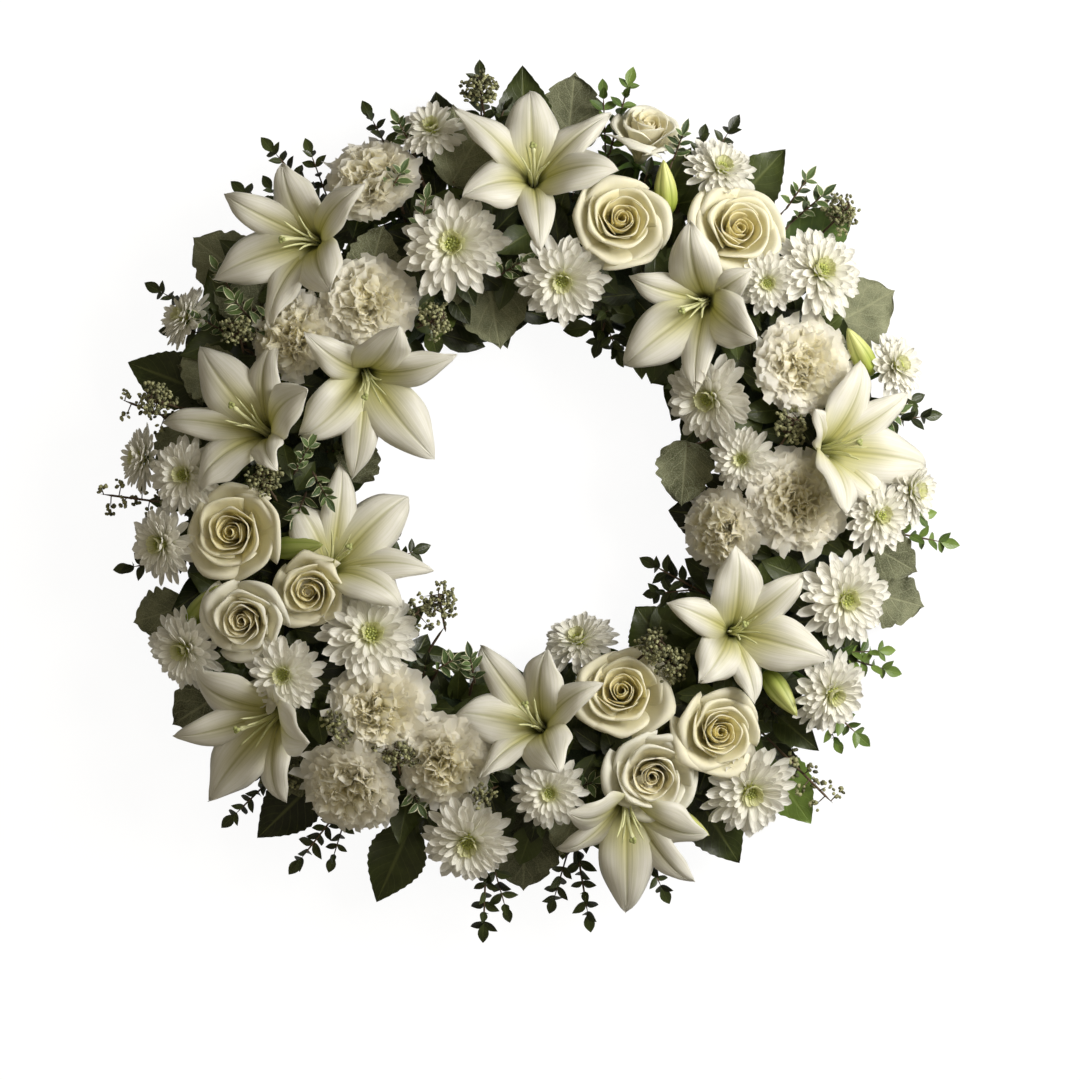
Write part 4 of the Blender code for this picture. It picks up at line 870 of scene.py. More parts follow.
def rose_sepal(bm, matrix, angle, draw):
    """A narrow pointed leaf that hangs from the hip."""
    line = bent_line(24 * MM, 60, 120 + draw.uniform(-15, 15))
    outward, sideways = polar(1, angle), polar(1, angle + 90)

    def place(side, up):
        radius, height, _ = on_line(line, up)
        wide = 4.2 * MM * (1 - up) ** 0.8
        middle = outward * (radius + 3 * MM) + Vector((0, 0, height + side * side * 1.2 * MM))
        return matrix @ (middle - sideways * side * wide)

    lay_sheet(bm, 4, 7, place, CUP, heart=0.9, tone=draw.random())


# %% Make the roses
draw = random.Random(5)
for name, (x, y, radius, lean, toward, colour) in ROSES.items():
    bm = new_piece()
    matrix = head_frame(x, y, lean, toward, eye=40, lift=4)
    turn, laid, petals = draw.uniform(0, 360), 0, sum(row[0] for row in ROSE_ROWS)
    for count, first, last, spread, top, roll, waist in ROSE_ROWS:
        for index in range(count):
            rim = (first + (last - first) * index / (count - 1)) * radius * MM
            share = laid / (petals - 1)
            rose_petal(bm, matrix, turn, share, rim, spread, top, roll * radius / 34, waist, draw)
            turn, laid = turn + GOLDEN_ANGLE, laid + 1
    thicken(bm, 0.35 * MM)
    lay_turned(bm, matrix, ((-5, 0), (-3, 3.6), (0, 5), (3, 4.6), (6, 0)), 10, CUP)
    for sepal in range(5):
        rose_sepal(bm, matrix, 72 * sepal, draw)
    lay_stem(bm, matrix, CUP)
    velvet = ROSE_CREAM if colour == "cream" else ROSE_WHITE
    finish_piece(bm, name + "_flower", (velvet, STEM_GREEN), [name])
print("roses done, triangles so far", total["triangles"])

# %% [markdown]
# ## Carnations
# A carnation is a green cup out of which some eighty petals burst: fans with a toothed edge, so
# crowded that they ruffle. The outer ones lie flat and the middle ones stand up. A displaced ball looks
# like a pompon, so every fan is laid on its own, and the ruffle is a wave that grows towards the edge.

# %% Where the carnations are
# x, y in mm, radius, lean, the way it leans.
CARNATIONS = {
    "carnation_01": (-119, 241, 33, 35, 116), "carnation_02": (-117, 145, 34, 8, 100),
    "carnation_03": (-173, 122, 29, 15, 145), "carnation_04": (200, 99, 34, 12, 26),
    "carnation_05": (194, -1, 37, 5, 0), "carnation_06": (128, -23, 29, 42, 190),
    "carnation_07": (-108, -150, 36, 6, 60), "carnation_08": (-63, -193, 33, 15, 250),
    "carnation_09": (-136, -215, 36, 35, 237),
}

# %% A carnation petal
CARNATION_PETALS = 80


def carnation_petal(bm, matrix, angle, share, radius, draw):
    """A fan on a thin claw, flat and broad at the flower's edge, upright and crumpled in its heart."""
    bent = -14 + 104 * share ** 0.7 + draw.uniform(-12, 12)
    length = ((35 - 3 * share) * MM + (radius - 26 * MM) * share) * draw.uniform(0.88, 1.08)
    fold = 75 * (1 - share) ** 0.7
    line = bent_line(length, 16 * share, bent + 26 * share, curl=draw.uniform(-20 - fold, 34 + fold))
    fan = math.radians(36 + 14 * share)
    waves, phase = draw.uniform(1.6, 3.2), draw.uniform(0, 6.3)
    deep = draw.uniform(2.6, 4.6) * MM * (1.4 - 0.85 * share)
    root = polar((1 - share) * draw.uniform(0, 10) * MM, draw.uniform(0, 360))
    outward, sideways = polar(1, angle), polar(1, angle + 90)
    across = 16
    teeth = [draw.uniform(0.3, 1.6) * MM for _ in range(across + 1)]

    def place(side, up):
        reach, height, slope = on_line(line, up)
        opened = max(0.0, up - 0.34) / 0.66
        swing = side * fan
        wide = math.sin(swing) * (0.62 + 0.42 * share) * length * opened ** 0.75 + side * 1.1 * MM
        forward = -(1 - math.cos(swing)) * length * 0.8 * opened
        tooth = round((side + 1) / 2 * across)
        if up > 0.99:
            forward += teeth[tooth] if tooth % 2 else -0.8 * MM
        # The ruffle grows towards the edge.
        fine = 0.35 * math.sin(2.7 * waves * math.pi * side - phase)
        ruffle = deep * opened ** 1.3 * (math.sin(waves * math.pi * side + phase + 1.6 * up) + fine)
        ahead = outward * math.sin(slope) + Vector((0, 0, math.cos(slope)))
        middle = root * min(1, 2 * up) + outward * reach + Vector((0, 0, height))
        return matrix @ (middle + ahead * forward - sideways * wide + facing(outward, slope) * ruffle)

    lay_sheet(bm, across, 6, place, PETAL, heart=share, tone=draw.random())


# %% Make the carnations
draw = random.Random(7)
for name, (x, y, radius, lean, toward) in CARNATIONS.items():
    bm = new_piece()
    matrix = head_frame(x, y, lean, toward, eye=37, lift=2)
    start = draw.uniform(0, 360)
    for index in range(CARNATION_PETALS):
        share = ((index + 0.5) / CARNATION_PETALS) ** 0.78
        carnation_petal(bm, matrix, start + GOLDEN_ANGLE * index, share, radius * MM, draw)
    lay_turned(bm, matrix, ((-12, 0), (-9, 4.6), (0, 6.4), (10, 7.2), (13, 0)), 12, CUP)
    lay_stem(bm, matrix, CUP, 2.0, -9)
    finish_piece(bm, name + "_flower", (CARNATION_IVORY, STEM_GREEN), [name])
print("carnations done, triangles so far", total["triangles"])

# %% [markdown]
# ## Chrysanthemums
# Spray chrysanthemums: six rings of channelled petals with rounded tips round a lime eye whose own
# middle is darker. The petals get shorter, steeper and greener towards the eye. One petal could be
# copied for all, but small changes in length and pitch are what keeps a flower from looking moulded.

# %% Where the chrysanthemums are
# Each spray has one or two heads: x, y in mm, radius, lean, the way it leans.
MUM_SPRAYS = {
    "mum_spray_01": ((-72, 272, 27, 35, 105), (-56, 184, 41, 5, 105)),
    "mum_spray_02": ((23, 157, 35, 20, 270),), "mum_spray_03": ((140, 243, 30, 40, 60),),
    "mum_spray_04": ((212, 167, 37, 32, 38), (171, 156, 25, 12, 300)),
    "mum_spray_05": ((270, 99, 27, 48, 20),),
    "mum_spray_06": ((127, 72, 37, 35, 210), (152, 29, 25, 15, 190)),
    "mum_spray_07": ((254, -11, 30, 30, 355), (282, 7, 28, 55, 0)),
    "mum_spray_08": ((229, -72, 36, 20, 342), (220, -141, 32, 35, 327)),
    "mum_spray_09": ((160, -212, 37, 27, 307),),
    "mum_spray_10": ((14, -211, 28, 6, 270), (-45, -248, 36, 26, 260)),
    "mum_spray_11": ((34, -99, 30, 50, 109),),
    "mum_spray_12": ((-114, -96, 38, 15, 40), (-178, -126, 31, 10, 215)),
    "mum_spray_13": ((-253, -109, 32, 36, 203), (-270, -32, 31, 40, 187)),
    "mum_spray_14": ((-251, 18, 30, 20, 176), (-288, 31, 26, 68, 174)),
    "mum_spray_15": ((-256, 135, 26, 62, 152),),
}
# How many petals a ring has, how far it reaches, how high it starts in mm, its pitch at root and tip.
MUM_RINGS = (
    (20, 1.00, 3.0, 82, 98), (19, 0.92, 4.5, 72, 90), (18, 0.80, 6.0, 63, 80),
    (16, 0.66, 7.5, 54, 68), (14, 0.51, 9.0, 42, 52), (13, 0.37, 10.0, 30, 22),
)

# %% A chrysanthemum petal and eye
EYE, MUM_STEM = 1, 2
FLORETS = 34


def mum_petal(bm, matrix, angle, radius, reach, low, root, tip, draw):
    """A narrow spoon with a channel along it and a rounded tip."""
    share = max(0.0, (reach - 0.3) / 0.7)
    start = radius * (0.09 + 0.12 * share)
    slant = max(0.45, math.sin(math.radians((root + tip) / 2)))
    length = (radius * reach - start) * draw.uniform(0.82, 1.09) / slant
    if share < 0.2:
        length = radius * 0.26
    root, tip = root + draw.uniform(-9, 9), tip + draw.uniform(-14, 14)
    line = bent_line(length, root, tip, curl=draw.uniform(-30, 4), steps=16)
    half = radius * (0.058 + 0.056 * share)
    outward, sideways = polar(1, angle), polar(1, angle + 90)
    tilt = draw.uniform(-0.22, 0.22)

    def place(side, up):
        along = 1 - (1 - up) ** 1.35
        out, height, slope = on_line(line, along)
        round_tip = max(0.0, 1 - (max(0.0, along - 0.7) / 0.3) ** 2.2) ** 0.62
        wide = half * min(1.0, 0.5 + 0.85 * along) * round_tip
        lift = wide * (0.55 * side * side - 0.25) + tilt * side * wide
        middle = outward * (start + out) + Vector((0, 0, height + low * MM))
        return matrix @ (middle - sideways * side * wide + facing(outward, slope) * lift)

    lay_sheet(bm, 4, 6, place, PETAL, heart=share, tone=draw.random())


def mum_eye(bm, matrix, radius, draw):
    """A low dome packed with closed florets, dark green in its very middle, for a head of this radius in
    mm."""
    dome = ((2, 0), (6, 0.18 * radius), (9, 0.15 * radius), (10.6, 0.08 * radius), (11.2, 0))
    lay_turned(bm, matrix, dome, 12, EYE, heart=0.3)
    for index in range(FLORETS):
        share = math.sqrt((index + 0.5) / FLORETS)
        spot = polar(0.18 * radius * MM * share, GOLDEN_ANGLE * index, (12.2 - 3.2 * share * share) * MM)
        floret = Matrix.Translation(matrix @ spot) @ Matrix.Diagonal((1, 1, 1.9, 1))
        size = 0.027 * radius * MM * (0.8 + 0.5 * share)
        lay_grain(bm, floret, size, EYE, heart=0.1 + 0.7 * share, tone=draw.random())


# %% Make the chrysanthemums
draw = random.Random(9)
for name, heads in MUM_SPRAYS.items():
    bm = new_piece()
    for x, y, radius, lean, toward in heads:
        matrix = head_frame(x, y, lean, toward, eye=15, lift=3)
        for count, reach, low, root, tip in MUM_RINGS:
            first = draw.uniform(0, 360)
            for index in range(count):
                angle = first + (index + draw.uniform(-0.3, 0.3)) * 360 / count
                mum_petal(bm, matrix, angle, radius * MM, reach, low, root, tip, draw)
        mum_eye(bm, matrix, radius, draw)
        lay_turned(bm, matrix, ((-4, 0), (-1, 5), (2, 7), (5, 0)), 10, MUM_STEM)
        lay_stem(bm, matrix, MUM_STEM, 1.7, 0)
    finish_piece(bm, name + "_flowers", (MUM_WHITE, MUM_EYE, STEM_GREEN), [name])
print("chrysanthemums done, triangles so far", total["triangles"])

# %% [markdown]
# ## Leaves
# All the leaves are one kind of sheet with different outlines: a blade that bends along its midrib,
# folds a little at it, and waves. Small ones need few faces because there are hundreds of them.

# %% One leaf


def blade_frame(ahead, face_up):
    """The directions along, across and out of a blade that runs ahead and looks towards face_up."""
    ahead = ahead.normalized()
    sideways = ahead.cross(face_up).normalized()
    return ahead, sideways, sideways.cross(ahead)


def leaf(
    bm, base, ahead, face_up, length, width, finish, draw,
    across=4, along=6, droop=25, fold=0.25, blunt=0.9, wave=0.0, toothed=False,
):
    """A leaf from base along ahead, whose upper side looks towards face_up."""
    ahead, sideways, normal = blade_frame(ahead, face_up)
    line = bent_line(length, 0, droop, steps=12)
    phase, tone = draw.uniform(0, 6.3), draw.random()

    def place(side, up):
        # bent_line starts along its own axis, so its height is the way ahead and its radius the drop.
        drop, run, _ = on_line(line, up)
        wide = 0.5 * width * math.sin(math.pi * up ** blunt) ** 0.9 * (1.06 - 0.2 * up ** 3)
        wide = max(wide, 0.3 * MM * (1 - up))
        if toothed and abs(side) > 0.9:
            wide *= 1 + 0.03 * (1 if round(up * along) % 2 else -1)
        lift = wide * fold * side * side + wave * side * abs(side) * math.sin(9 * up + phase)
        return base + ahead * run - normal * drop + sideways * side * wide + normal * lift

    lay_sheet(bm, across, along, place, finish, heart=1.0, tone=tone)


# %% A leafy twig and a branch of seeds
GREEN_FINISHES = (
    LEAF_DARK, LEAF_SMALL, TWIG_BARK, SEED_COAT, LEAF_EDGED, LEAF_PAINTED_LIT, DUSTY_FELT, BUD_GREEN,
)
DARK, SMALL, BARK, SEED, EDGED, PAINTED_LIT, FELT, CLOSED_BUD = range(8)
SEEDS_IN_BUNCH, SEED_STALK = 8, 13 * MM


def twig(bm, start, tip, rise, pairs, leaf_length, finish, draw, bare=0.35, slim=0.52, width=1.1):
    """A twig that bows up from start to tip, with leaves in pairs and one at its end."""
    path = bow(start, tip, Vector((0, 0, rise)), 10)
    radii = [0] + [width * MM * (1 - 0.05 * step) for step in range(9)] + [0]
    lay_stalk(bm, path, radii, 6, BARK, tone=draw.random())
    for pair in range(pairs):
        along = bare + (1 - bare) * (pair + 0.6) / pairs
        spot, ahead = on_path(path, along)
        turn = 90 * (pair % 2) + draw.uniform(-30, 30)
        cross = frame_at(Vector(), ahead).to_3x3() @ polar(1, turn)
        size = leaf_length * draw.uniform(0.8, 1.15) * (1 - 0.3 * along ** 3)
        for way in (1, -1):
            out = (cross * way + ahead * draw.uniform(0.5, 0.9)).normalized()
            up = (UP + ahead * 0.4 + cross * way * -0.3).normalized()
            wide = size * slim * draw.uniform(0.9, 1.1)
            leaf(bm, spot, out, up, size, wide, finish, draw, droop=draw.uniform(0, 40))
    ahead = (path[-1] - path[-2]).normalized()
    leaf(bm, path[-1] - ahead * MM, ahead, UP, leaf_length, leaf_length * slim, finish, draw)


def seeds(bm, start, tip, rise, bunches, size, draw):
    """A eucalyptus branch: a stalk with short side stalks, each ending in a bunch of pointed seeds."""
    path = bow(start, tip, Vector((0, 0, rise)), 10)
    lay_rod(bm, path, 0.9 * MM, 6, BARK, tone=draw.random())
    for bunch in range(bunches):
        spot, ahead = on_path(path, 0.45 + 0.55 * (bunch + 0.5) / bunches)
        cross = frame_at(Vector(), ahead).to_3x3() @ polar(1, GOLDEN_ANGLE * bunch)
        end = spot + cross * draw.uniform(0.4, 1) * SEED_STALK + Vector((0, 0, draw.uniform(0, 5) * MM))
        lay_stalk(bm, [spot, spot.lerp(end, 0.5), end], [0.5 * MM, 0.45 * MM, 0], 5, BARK)
        for _ in range(SEEDS_IN_BUNCH):
            where = end + Vector([draw.uniform(-3.6, 3.6) * MM for _ in range(3)])
            way = Vector([draw.uniform(-1, 1) for _ in range(3)])
            turn = way.to_track_quat("Z", "Y").to_matrix().to_4x4()
            grain = Matrix.Translation(where) @ turn @ Matrix.Diagonal((1, 1, 1.45, 1))
            lay_grain(bm, grain, size * draw.uniform(0.75, 1.1), SEED, heart=0.6, tone=draw.random())


# %% [markdown]
# ## Greens round both rims
# Lemon leaf, boxwood twigs and seeded eucalyptus are pushed into the foam all round its sides before
# the flowers go in. Their tips show against the background, so each tip is where the photograph has it.

# %% Where the greens are
# Kind, angle round the ring, reach of the tip in mm, height of the tip in mm.
OUTER_GREENS = {
    "greens_outer_1": (
        ("leaf", 42, 320, 50), ("leaf", 54, 318, 44), ("twig", 61, 320, 50), ("twig", 76, 325, 50),
        ("leaf", 91, 318, 48), ("twig", 96, 323, 52), ("leaf", 103, 309, 46), ("twig", 112, 317, 48),
    ),
    "greens_outer_2": (
        ("twig", 126, 330, 50), ("twig", 133, 320, 46), ("twig", 151, 324, 44), ("leaf", 161, 314, 40),
        ("seeds", 166, 312, 52), ("seeds", 179, 320, 42),
    ),
    "greens_outer_3": (
        ("twig", 190, 310, 40), ("twig", 226, 330, 36), ("leaf", 231, 320, 34), ("twig", 237, 326, 40),
        ("leaf", 249, 317, 34),
    ),
    "greens_outer_4": (
        ("twig", 263, 326, 40), ("twig", 277, 320, 36), ("twig", 288, 314, 34), ("leaf", 300, 310, 34),
        ("leaf", 311, 316, 38), ("seeds", 315, 318, 50),
    ),
    "greens_outer_5": (
        ("twig", 325, 308, 40), ("twig", 334, 302, 36), ("twig", 354, 316, 44), ("twig", 12, 308, 46),
    ),
}
INNER_GREENS = {
    "greens_inner_1": (
        ("leaf", -45, 110, 42), ("twig", -30, 91, 46), ("leaf", -4, 102, 44), ("leaf", 44, 124, 40),
        ("twig", 68, 114, 44),
    ),
    "greens_inner_2": (("leaf", 168, 122, 40), ("twig", 202, 80, 42), ("seeds", 225, 102, 44)),
}
# The two outer leaves on the lit side that get the lighter green, which is painted light, by their angles.
PAINTED_LIT_LEAVES = (311, 42)

# %% Make the greens of both rims


def rim_item(bm, kind, angle, reach, height, outside, draw):
    """One leaf, twig or seed branch that leaves the foam's side and ends at its own tip."""
    root = (FOAM_OUTER_R - 6 * MM) if outside else (FOAM_INNER_R + 6 * MM)
    start, tip = polar(root, angle + draw.uniform(-3, 3), 34 * MM), polar(reach * MM, angle, height * MM)
    way = (tip - start).normalized()
    if kind == "leaf":
        length = min((tip - start).length * 0.86, 66 * MM)
        base = tip - way * length
        lay_rod(bm, bow(start, base, Vector((0, 0, 3 * MM)), 4), 1.1 * MM, 6, BARK)
        # Leaves on the lit right side get the lighter green: painted light.
        finish = PAINTED_LIT if outside and angle in PAINTED_LIT_LEAVES else DARK
        leaf(
            bm, base, way, UP + way * 0.3, length, 41 * MM, finish, draw, 8, 24,
            droop=draw.uniform(5, 30), fold=0.16, blunt=0.8, wave=2.2 * MM, toothed=True,
        )
    elif kind == "twig":
        # Most twigs on the right, where the key light falls, get the lighter green, which is painted light.
        lit_side = outside and (angle > 320 or angle < 80)
        finish = PAINTED_LIT if lit_side and draw.random() < 0.7 else SMALL
        side = way.cross(UP)
        end = tip - way * 13 * MM + side * draw.uniform(-5, 5) * MM
        pairs = round((end - start).length * 0.72 / (7.5 * MM))
        twig(bm, start, end, 5 * MM, pairs, 15.5 * MM, finish, draw, 0.28)
        swing = draw.choice((-1, 1))
        fork = start.lerp(tip, draw.uniform(0.62, 0.78)) + side * swing * draw.uniform(12, 20) * MM
        twig(bm, start.lerp(tip, 0.25), fork, 4 * MM, 4, 14 * MM, finish, draw, 0.4, width=0.8)
    else:
        seeds(bm, start, tip - way * 5 * MM, 6 * MM, 9, 1.55 * MM, draw)
        leaf(bm, start.lerp(tip, 0.3), way, UP, 30 * MM, 13 * MM, SMALL, draw, 4, 8, blunt=0.8)


draw = random.Random(15)
for rims, outside in ((OUTER_GREENS, True), (INNER_GREENS, False)):
    for name, items in rims.items():
        bm = new_piece()
        for kind, angle, reach, height in items:
            rim_item(bm, kind, angle, reach, height, outside, draw)
        finish_piece(bm, name + "_branches", GREEN_FINISHES[:6], [name])
print("rim greens done, triangles so far", total["triangles"])

# %% [markdown]
# ## Dusty miller
# Its leaves are thick, grey and cut into rounded lobes. The outline is a wave laid over an oval, whose
# lobes get deeper towards the leaf's middle, and the whole blade is quilted between its veins.

# %% Where the dusty miller is
# Angle round the ring, reach, height and width in mm.
DUSTY_MILLER = {
    "dusty_miller_1": ((84, 318, 40, 54), (101, 290, 74, 44)), "dusty_miller_2": ((30, 313, 30, 58),),
    "dusty_miller_3": ((-15, 304, 24, 48),), "dusty_miller_4": ((-91, 292, 22, 58),),
    "dusty_miller_5": ((-148, 315, 22, 54), (-163, 309, 22, 40)),
    "dusty_miller_6": ((142, 316, 38, 52), (159, 276, 52, 44)), "dusty_miller_7": ((101, 112, 62, 60),),
}

# %% A dusty miller leaf


def dusty_leaf(bm, base, ahead, face_up, length, width, finish, draw, droop=20):
    """A lobed felted leaf."""
    ahead, sideways, normal = blade_frame(ahead, face_up)
    line = bent_line(length, 0, droop, steps=20)
    tone, phase = draw.random(), draw.uniform(0, 6.3)
    lobes = draw.choice((4.5, 5.0, 5.5))

    def place(side, up):
        drop, run, _ = on_line(line, up)
        oval = math.sin(math.pi * min(1, up) ** 0.8) ** 0.62
        notch = abs(math.cos(math.pi * lobes * up + phase)) ** 0.45
        wide = 0.5 * width * (oval * (0.78 + 0.2 * notch + 0.03 * math.sin(45 * up + phase)) + 0.02)
        ruffle = (2.2 * math.sin(8 * up + phase + 2 * side) + 1.3 * math.sin(19 * up - phase)) * MM * side * side
        quilt = 0.7 * MM * math.cos(math.tau * lobes * (up - 0.5 * abs(side))) * abs(side) * (1 - abs(side))
        fold = -2.0 * MM * math.exp(-((side / 0.1) ** 2)) * (1 - up)
        tip = -0.5 * (1 - math.cos(math.pi * side)) * 0.06 * length * up
        lift = ruffle + quilt + fold + 0.12 * wide * side * side
        return base + ahead * (run + tip) - normal * drop + sideways * side * wide + normal * lift

    lay_sheet(bm, 16, 40, place, finish, heart=1.0, tone=tone)


# %% Make the dusty miller
draw = random.Random(21)
for name, leaves in DUSTY_MILLER.items():
    bm = new_piece()
    for angle, reach, height, width in leaves:
        inside = reach < 140
        root = (FOAM_INNER_R + 8 * MM) if inside else (FOAM_OUTER_R - 8 * MM)
        start = polar(root, angle, 36 * MM)
        tip = polar(reach * MM, angle, height * MM)
        away = (tip - start).normalized() if not inside else polar(-1, angle, 0.1).normalized()
        length = width * 1.12 * MM
        base = tip - away * length
        dusty_leaf(bm, base, away, UP + away * 0.2, length, width * MM, 0, draw)
        if (base - start).length > 4 * MM:
            path = bow(start, base + away * 2 * MM, Vector((0, 0, 2 * MM)), 5)
            lay_rod(bm, path, 1.5 * MM, 8, 0)
    finish_piece(bm, name + "_leaves", (DUSTY_FELT,), [name])
print("dusty miller done, triangles so far", total["triangles"])

# %% [markdown]
# ## Greens between the flowers
# Looked at closely, the dark gaps between the flowers are full of leaves that cover the foam. A few
# show as features: eucalyptus seeds, cream-edged twigs and felted leaves. The rest is a carpet of dark
# leaves whose places come from a seeded draw.

# %% Seeds, cream-edged twigs and felted leaves in the gaps
# Kind, x and y in mm, height in mm, the way it points, size in mm. Every sixth item goes to the same
# piece.
GAP_PIECES = 6
GAP_GREENS = (
    ("seeds", -70, 129, 84, 20, 26), ("seeds", -190, 12, 88, 120, 30), ("seeds", -64, -78, 86, 100, 34),
    ("seeds", 86, -108, 92, 40, 34), ("seeds", 100, -118, 84, 330, 28), ("seeds", 187, 50, 86, 60, 30),
    ("seeds", -137, -166, 82, 60, 26), ("seeds", -268, 72, 70, 160, 28),
    ("seeds", -176, -200, 46, 210, 24), ("seeds", -36, 296, 60, 100, 30),
    ("seeds", -110, -208, 66, 250, 24), ("edged", -76, 208, 92, 80, 34), ("edged", -12, 168, 88, 30, 30),
    ("edged", 30, 176, 86, 330, 28), ("edged", -163, 32, 88, 60, 32), ("edged", -150, 8, 86, 300, 30),
    ("edged", -166, -6, 84, 250, 26), ("edged", 46, -128, 66, 200, 24), ("edged", -42, -120, 82, 100, 26),
    ("edged", -30, -200, 74, 250, 28), ("edged", 40, -206, 74, 20, 26), ("edged", -92, 268, 66, 120, 26),
    ("edged", 205, 215, 64, 40, 40), ("edged", -208, 138, 80, 130, 34), ("edged", -194, 128, 80, 60, 28),
    ("edged", 226, 74, 64, 30, 26), ("edged", 196, 226, 60, 55, 34), ("edged", -60, -118, 80, 30, 22),
    ("edged", -96, 232, 80, 60, 22), ("edged", 108, 258, 80, 70, 26), ("edged", 196, -60, 84, 330, 22),
    ("miller", -112, 178, 84, 75, 40), ("miller", 112, 20, 74, 265, 44), ("miller", -46, 250, 74, 60, 46),
    ("miller", -124, 30, 70, 70, 34), ("miller", 30, -236, 64, 250, 44),
    ("miller", -176, -196, 52, 205, 46), ("miller", -258, 36, 62, 250, 36),
    ("miller", -106, 128, 78, 330, 34), ("miller", -236, 96, 60, 130, 44),
    ("miller", -212, 150, 60, 150, 44), ("miller", 262, -40, 56, 330, 44), ("bud", -236, -76, 76, 52, 38),
    ("leaf", -232, -62, 56, 150, 46), ("leaf", -246, -70, 50, 215, 46), ("leaf", -222, -118, 56, 200, 46),
    ("leaf", -228, 150, 56, 110, 46), ("leaf", -212, 178, 50, 140, 46), ("leaf", -238, 112, 56, 200, 44),
    ("leaf", 108, 240, 66, 60, 44), ("leaf", 128, 220, 66, 10, 44), ("leaf", 214, 124, 66, 40, 44),
    ("leaf", 246, 66, 56, 20, 44), ("leaf", 236, -34, 60, 330, 42), ("leaf", 196, -170, 60, 320, 44),
    ("leaf", 128, -196, 66, 250, 42), ("leaf", 60, -188, 72, 200, 40), ("leaf", -92, -232, 58, 260, 46),
    ("leaf", -30, -226, 60, 280, 46), ("seeds", -36, -212, 76, 200, 28), ("seeds", 224, 206, 58, 45, 34),
    ("seeds", -96, -186, 86, 100, 26), ("seeds", -210, 120, 78, 100, 28),
    ("edged", -222, 160, 66, 120, 34), ("edged", -232, 128, 66, 150, 32),
    ("edged", -84, -214, 74, 300, 28), ("edged", 262, 62, 52, 25, 26),
)


def gap_item(bm, kind, x, y, height, toward, size, draw):
    """One branch or leaf that rises between the flowers and leans out of the gap."""
    spot = Vector((x, y, height)) * MM
    away = leaning(62, toward)
    start = spot - away * size * 0.6 * MM
    low = foam_target(Vector((start.x, start.y, 60 * MM)))
    radii = [0, 1.2 * MM, 1.2 * MM, 1.2 * MM, 1.1 * MM, 1.0 * MM, 0]
    lay_stalk(bm, bow(low, start + away * 5 * MM, away * 3 * MM, 6), radii, 6, BARK)
    if kind == "seeds":
        seeds(bm, start, spot + away * size * 0.4 * MM, 2 * MM, 20, 1.35 * MM, draw)
    elif kind == "edged":
        twig(bm, start, spot + away * size * 0.3 * MM, 2 * MM, 5, 13 * MM, EDGED, draw, 0.15, 0.42, 0.9)
    elif kind == "bud":
        lily_bud(bm, start, start + away * BUD_LENGTH, CLOSED_BUD, 0.55)
    elif kind == "leaf":
        leaf(
            bm, start, away, UP, size * MM, size * 0.55 * MM, DARK, draw, 8, 14,
            droop=24, fold=0.3, blunt=0.8, wave=1.5 * MM,
        )
    else:
        dusty_leaf(bm, start, leaning(74, toward), UP, size * 1.1 * MM, size * MM, FELT, draw, 26)


draw = random.Random(27)
for part in range(GAP_PIECES):
    bm = new_piece()
    for item in GAP_GREENS[part::GAP_PIECES]:
        gap_item(bm, *item, draw)
    finish_piece(bm, f"gap_branches_{part + 1}", GREEN_FINISHES, [])
print("gap branches done, triangles so far", total["triangles"])

# %% A carpet of dark leaves over the foam
# Ring radius, leaves, height and leaf length in mm.
CARPET_RINGS = (
    (134, 54, 38, 34), (148, 56, 58, 30), (166, 60, 68, 32), (184, 66, 74, 34), (202, 72, 70, 34),
    (220, 78, 64, 32), (238, 84, 52, 38), (252, 84, 38, 38), (240, 70, 26, 36),
)
draw = random.Random(33)
for ring, (radius, count, height, size) in enumerate(CARPET_RINGS):
    bm = new_piece()
    for step in range(count):
        angle = 360 * (step + draw.uniform(-0.4, 0.4)) / count
        spot = polar((radius + draw.uniform(-6, 6)) * MM, angle, (height + draw.uniform(-6, 5)) * MM)
        toward = angle + (0 if radius > 190 else 180) + draw.uniform(-80, 80)
        lean = draw.uniform(48, 84) if 145 < radius < 230 else draw.uniform(80, 112)
        length = size * draw.uniform(0.75, 1.2) * MM
        away = leaning(lean, toward)
        base = spot - away * length * 0.5
        width, finish = length * draw.uniform(0.42, 0.6), draw.choice((DARK, DARK, SMALL))
        leaf(bm, base, away, UP, length, width, finish, draw, droop=draw.uniform(10, 50))
        low = foam_target(base)
        lay_rod(bm, [low, low.lerp(base, 0.5), base + away * 2 * MM], 0.8 * MM, 4, BARK)
    finish_piece(bm, f"leaf_carpet_{ring + 1}", GREEN_FINISHES[:3], [])
print("carpet leaves:", sum(ring[1] for ring in CARPET_RINGS), "triangles so far", total["triangles"])

# %% Boxwood tips between the flowers
QUARTERS, TIPS_IN_QUARTER = 4, 18
draw = random.Random(41)
for part in range(QUARTERS):
    bm = new_piece()
    for step in range(TIPS_IN_QUARTER):
        angle = 90 * (part + step / TIPS_IN_QUARTER) + draw.uniform(-3, 3)
        radius = draw.uniform(142, 250)
        spot = mound_point(*polar(radius * MM, angle)[:2]) - Vector((0, 0, draw.uniform(26, 36) * MM))
        tip = spot + leaning(60, draw.uniform(0, 360)) * 8 * MM
        twig(bm, foam_target(spot), tip, 2 * MM, 5, 12 * MM, SMALL, draw, width=0.9)
    finish_piece(bm, f"boxwood_tips_{part + 1}", GREEN_FINISHES[:6], [])
print("boxwood tips done, triangles so far", total["triangles"])

# %% [markdown]
# ## Floor and light
# The photograph is cut out on white, with soft light from the right. A bright panel there, a larger one
# above and a weak one opposite give the same shading. A sun would draw hard petal shadows, which the
# photograph doesn't have.

# %% A pale floor


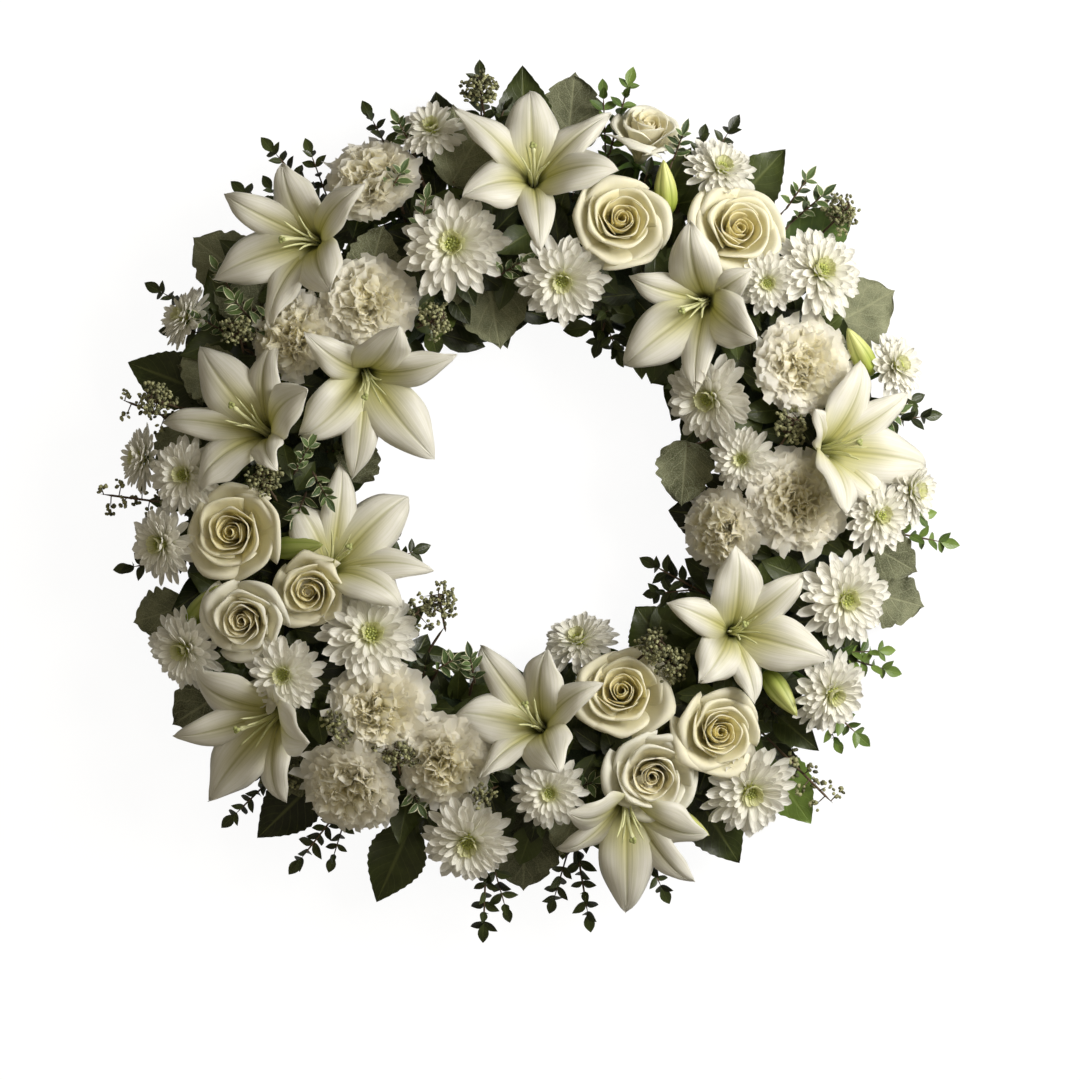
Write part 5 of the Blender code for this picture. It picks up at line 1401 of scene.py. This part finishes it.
def pale_floor():
    # A matt board lit from behind, as a light table is: shadows on it stay as pale as the photograph's
    # ground. Only the camera sees most of that glow, since the photograph's ground was cut out and lights
    # no petal.
    material, tree, place, *_ = begin("floor_matt_white_board")
    cloud = add(tree, "TexNoise", {"Vector": place, "Scale": 1 / (70 * MM), "Detail": 2.0})
    colour = add(tree, "Mix", {0: cloud, 6: rgb("#5e5e5d"), 7: rgb("#666665")}, 2, **TINT)
    fine = add(tree, "TexNoise", {"Vector": place, "Scale": 1 / (1.1 * MM), "Detail": 2.0})
    normal = add(tree, "Bump", {"Strength": 0.05, "Distance": 0.1 * MM, "Height": fine})
    seen = add(tree, "LightPath", {}, "Is Camera Ray")
    glow = add(tree, "Math", {0: seen, 1: 0.72, 2: 0.22}, operation="MULTIPLY_ADD")
    solid = add(tree, "BsdfPrincipled", {
        "Base Color": colour, "Roughness": 0.85, "Normal": normal,
        "Emission Color": rgb("#ffffff"), "Emission Strength": glow,
    })
    add(tree, "OutputMaterial", {"Surface": solid})
    return material


FLOOR_HALF_WIDTH = 6.0
bm = bmesh.new()
bmesh.ops.create_grid(bm, x_segments=2, y_segments=2, size=FLOOR_HALF_WIDTH)
mesh = bpy.data.meshes.new("floor")
bm.to_mesh(mesh)
bm.free()
mesh.materials.append(pale_floor())
floor = bpy.data.objects.new("floor", mesh)
bpy.context.collection.objects.link(floor)

# %% Soft light from the right
# Place and side in metres, power in watts, colour. All of them look at the middle of the wreath.
PANELS = (
    ("key_panel", (1.12, 0.45, 1.02), 0.75, 28, "#fffdf8"),
    ("fill_panel", (-1.8, -1.0, 2.0), 1.8, 2, "#ffe9c4"),
    ("top_panel", (0.9, 0.2, 2.6), 1.6, 7, "#fff8e8"),
)
PANEL_AIM = Vector((0.05, 0.05, 0.06))
for name, spot, size, power, colour in PANELS:
    panel = bpy.data.lights.new(name, "AREA")
    panel.size, panel.energy, panel.color = size, power, rgb(colour)[:3]
    lamp = bpy.data.objects.new(name, panel)
    lamp.location = spot
    lamp.rotation_euler = (PANEL_AIM - Vector(spot)).to_track_quat("-Z", "Y").to_euler()
    bpy.context.collection.objects.link(lamp)
world = bpy.data.worlds.new("studio")
world.use_nodes = True
background = world.node_tree.nodes["Background"]
background.inputs["Color"].default_value = rgb("#f3e6c6")
background.inputs["Strength"].default_value = 0.2
bpy.context.scene.world = world
bpy.context.scene.view_settings.view_transform = "Standard"
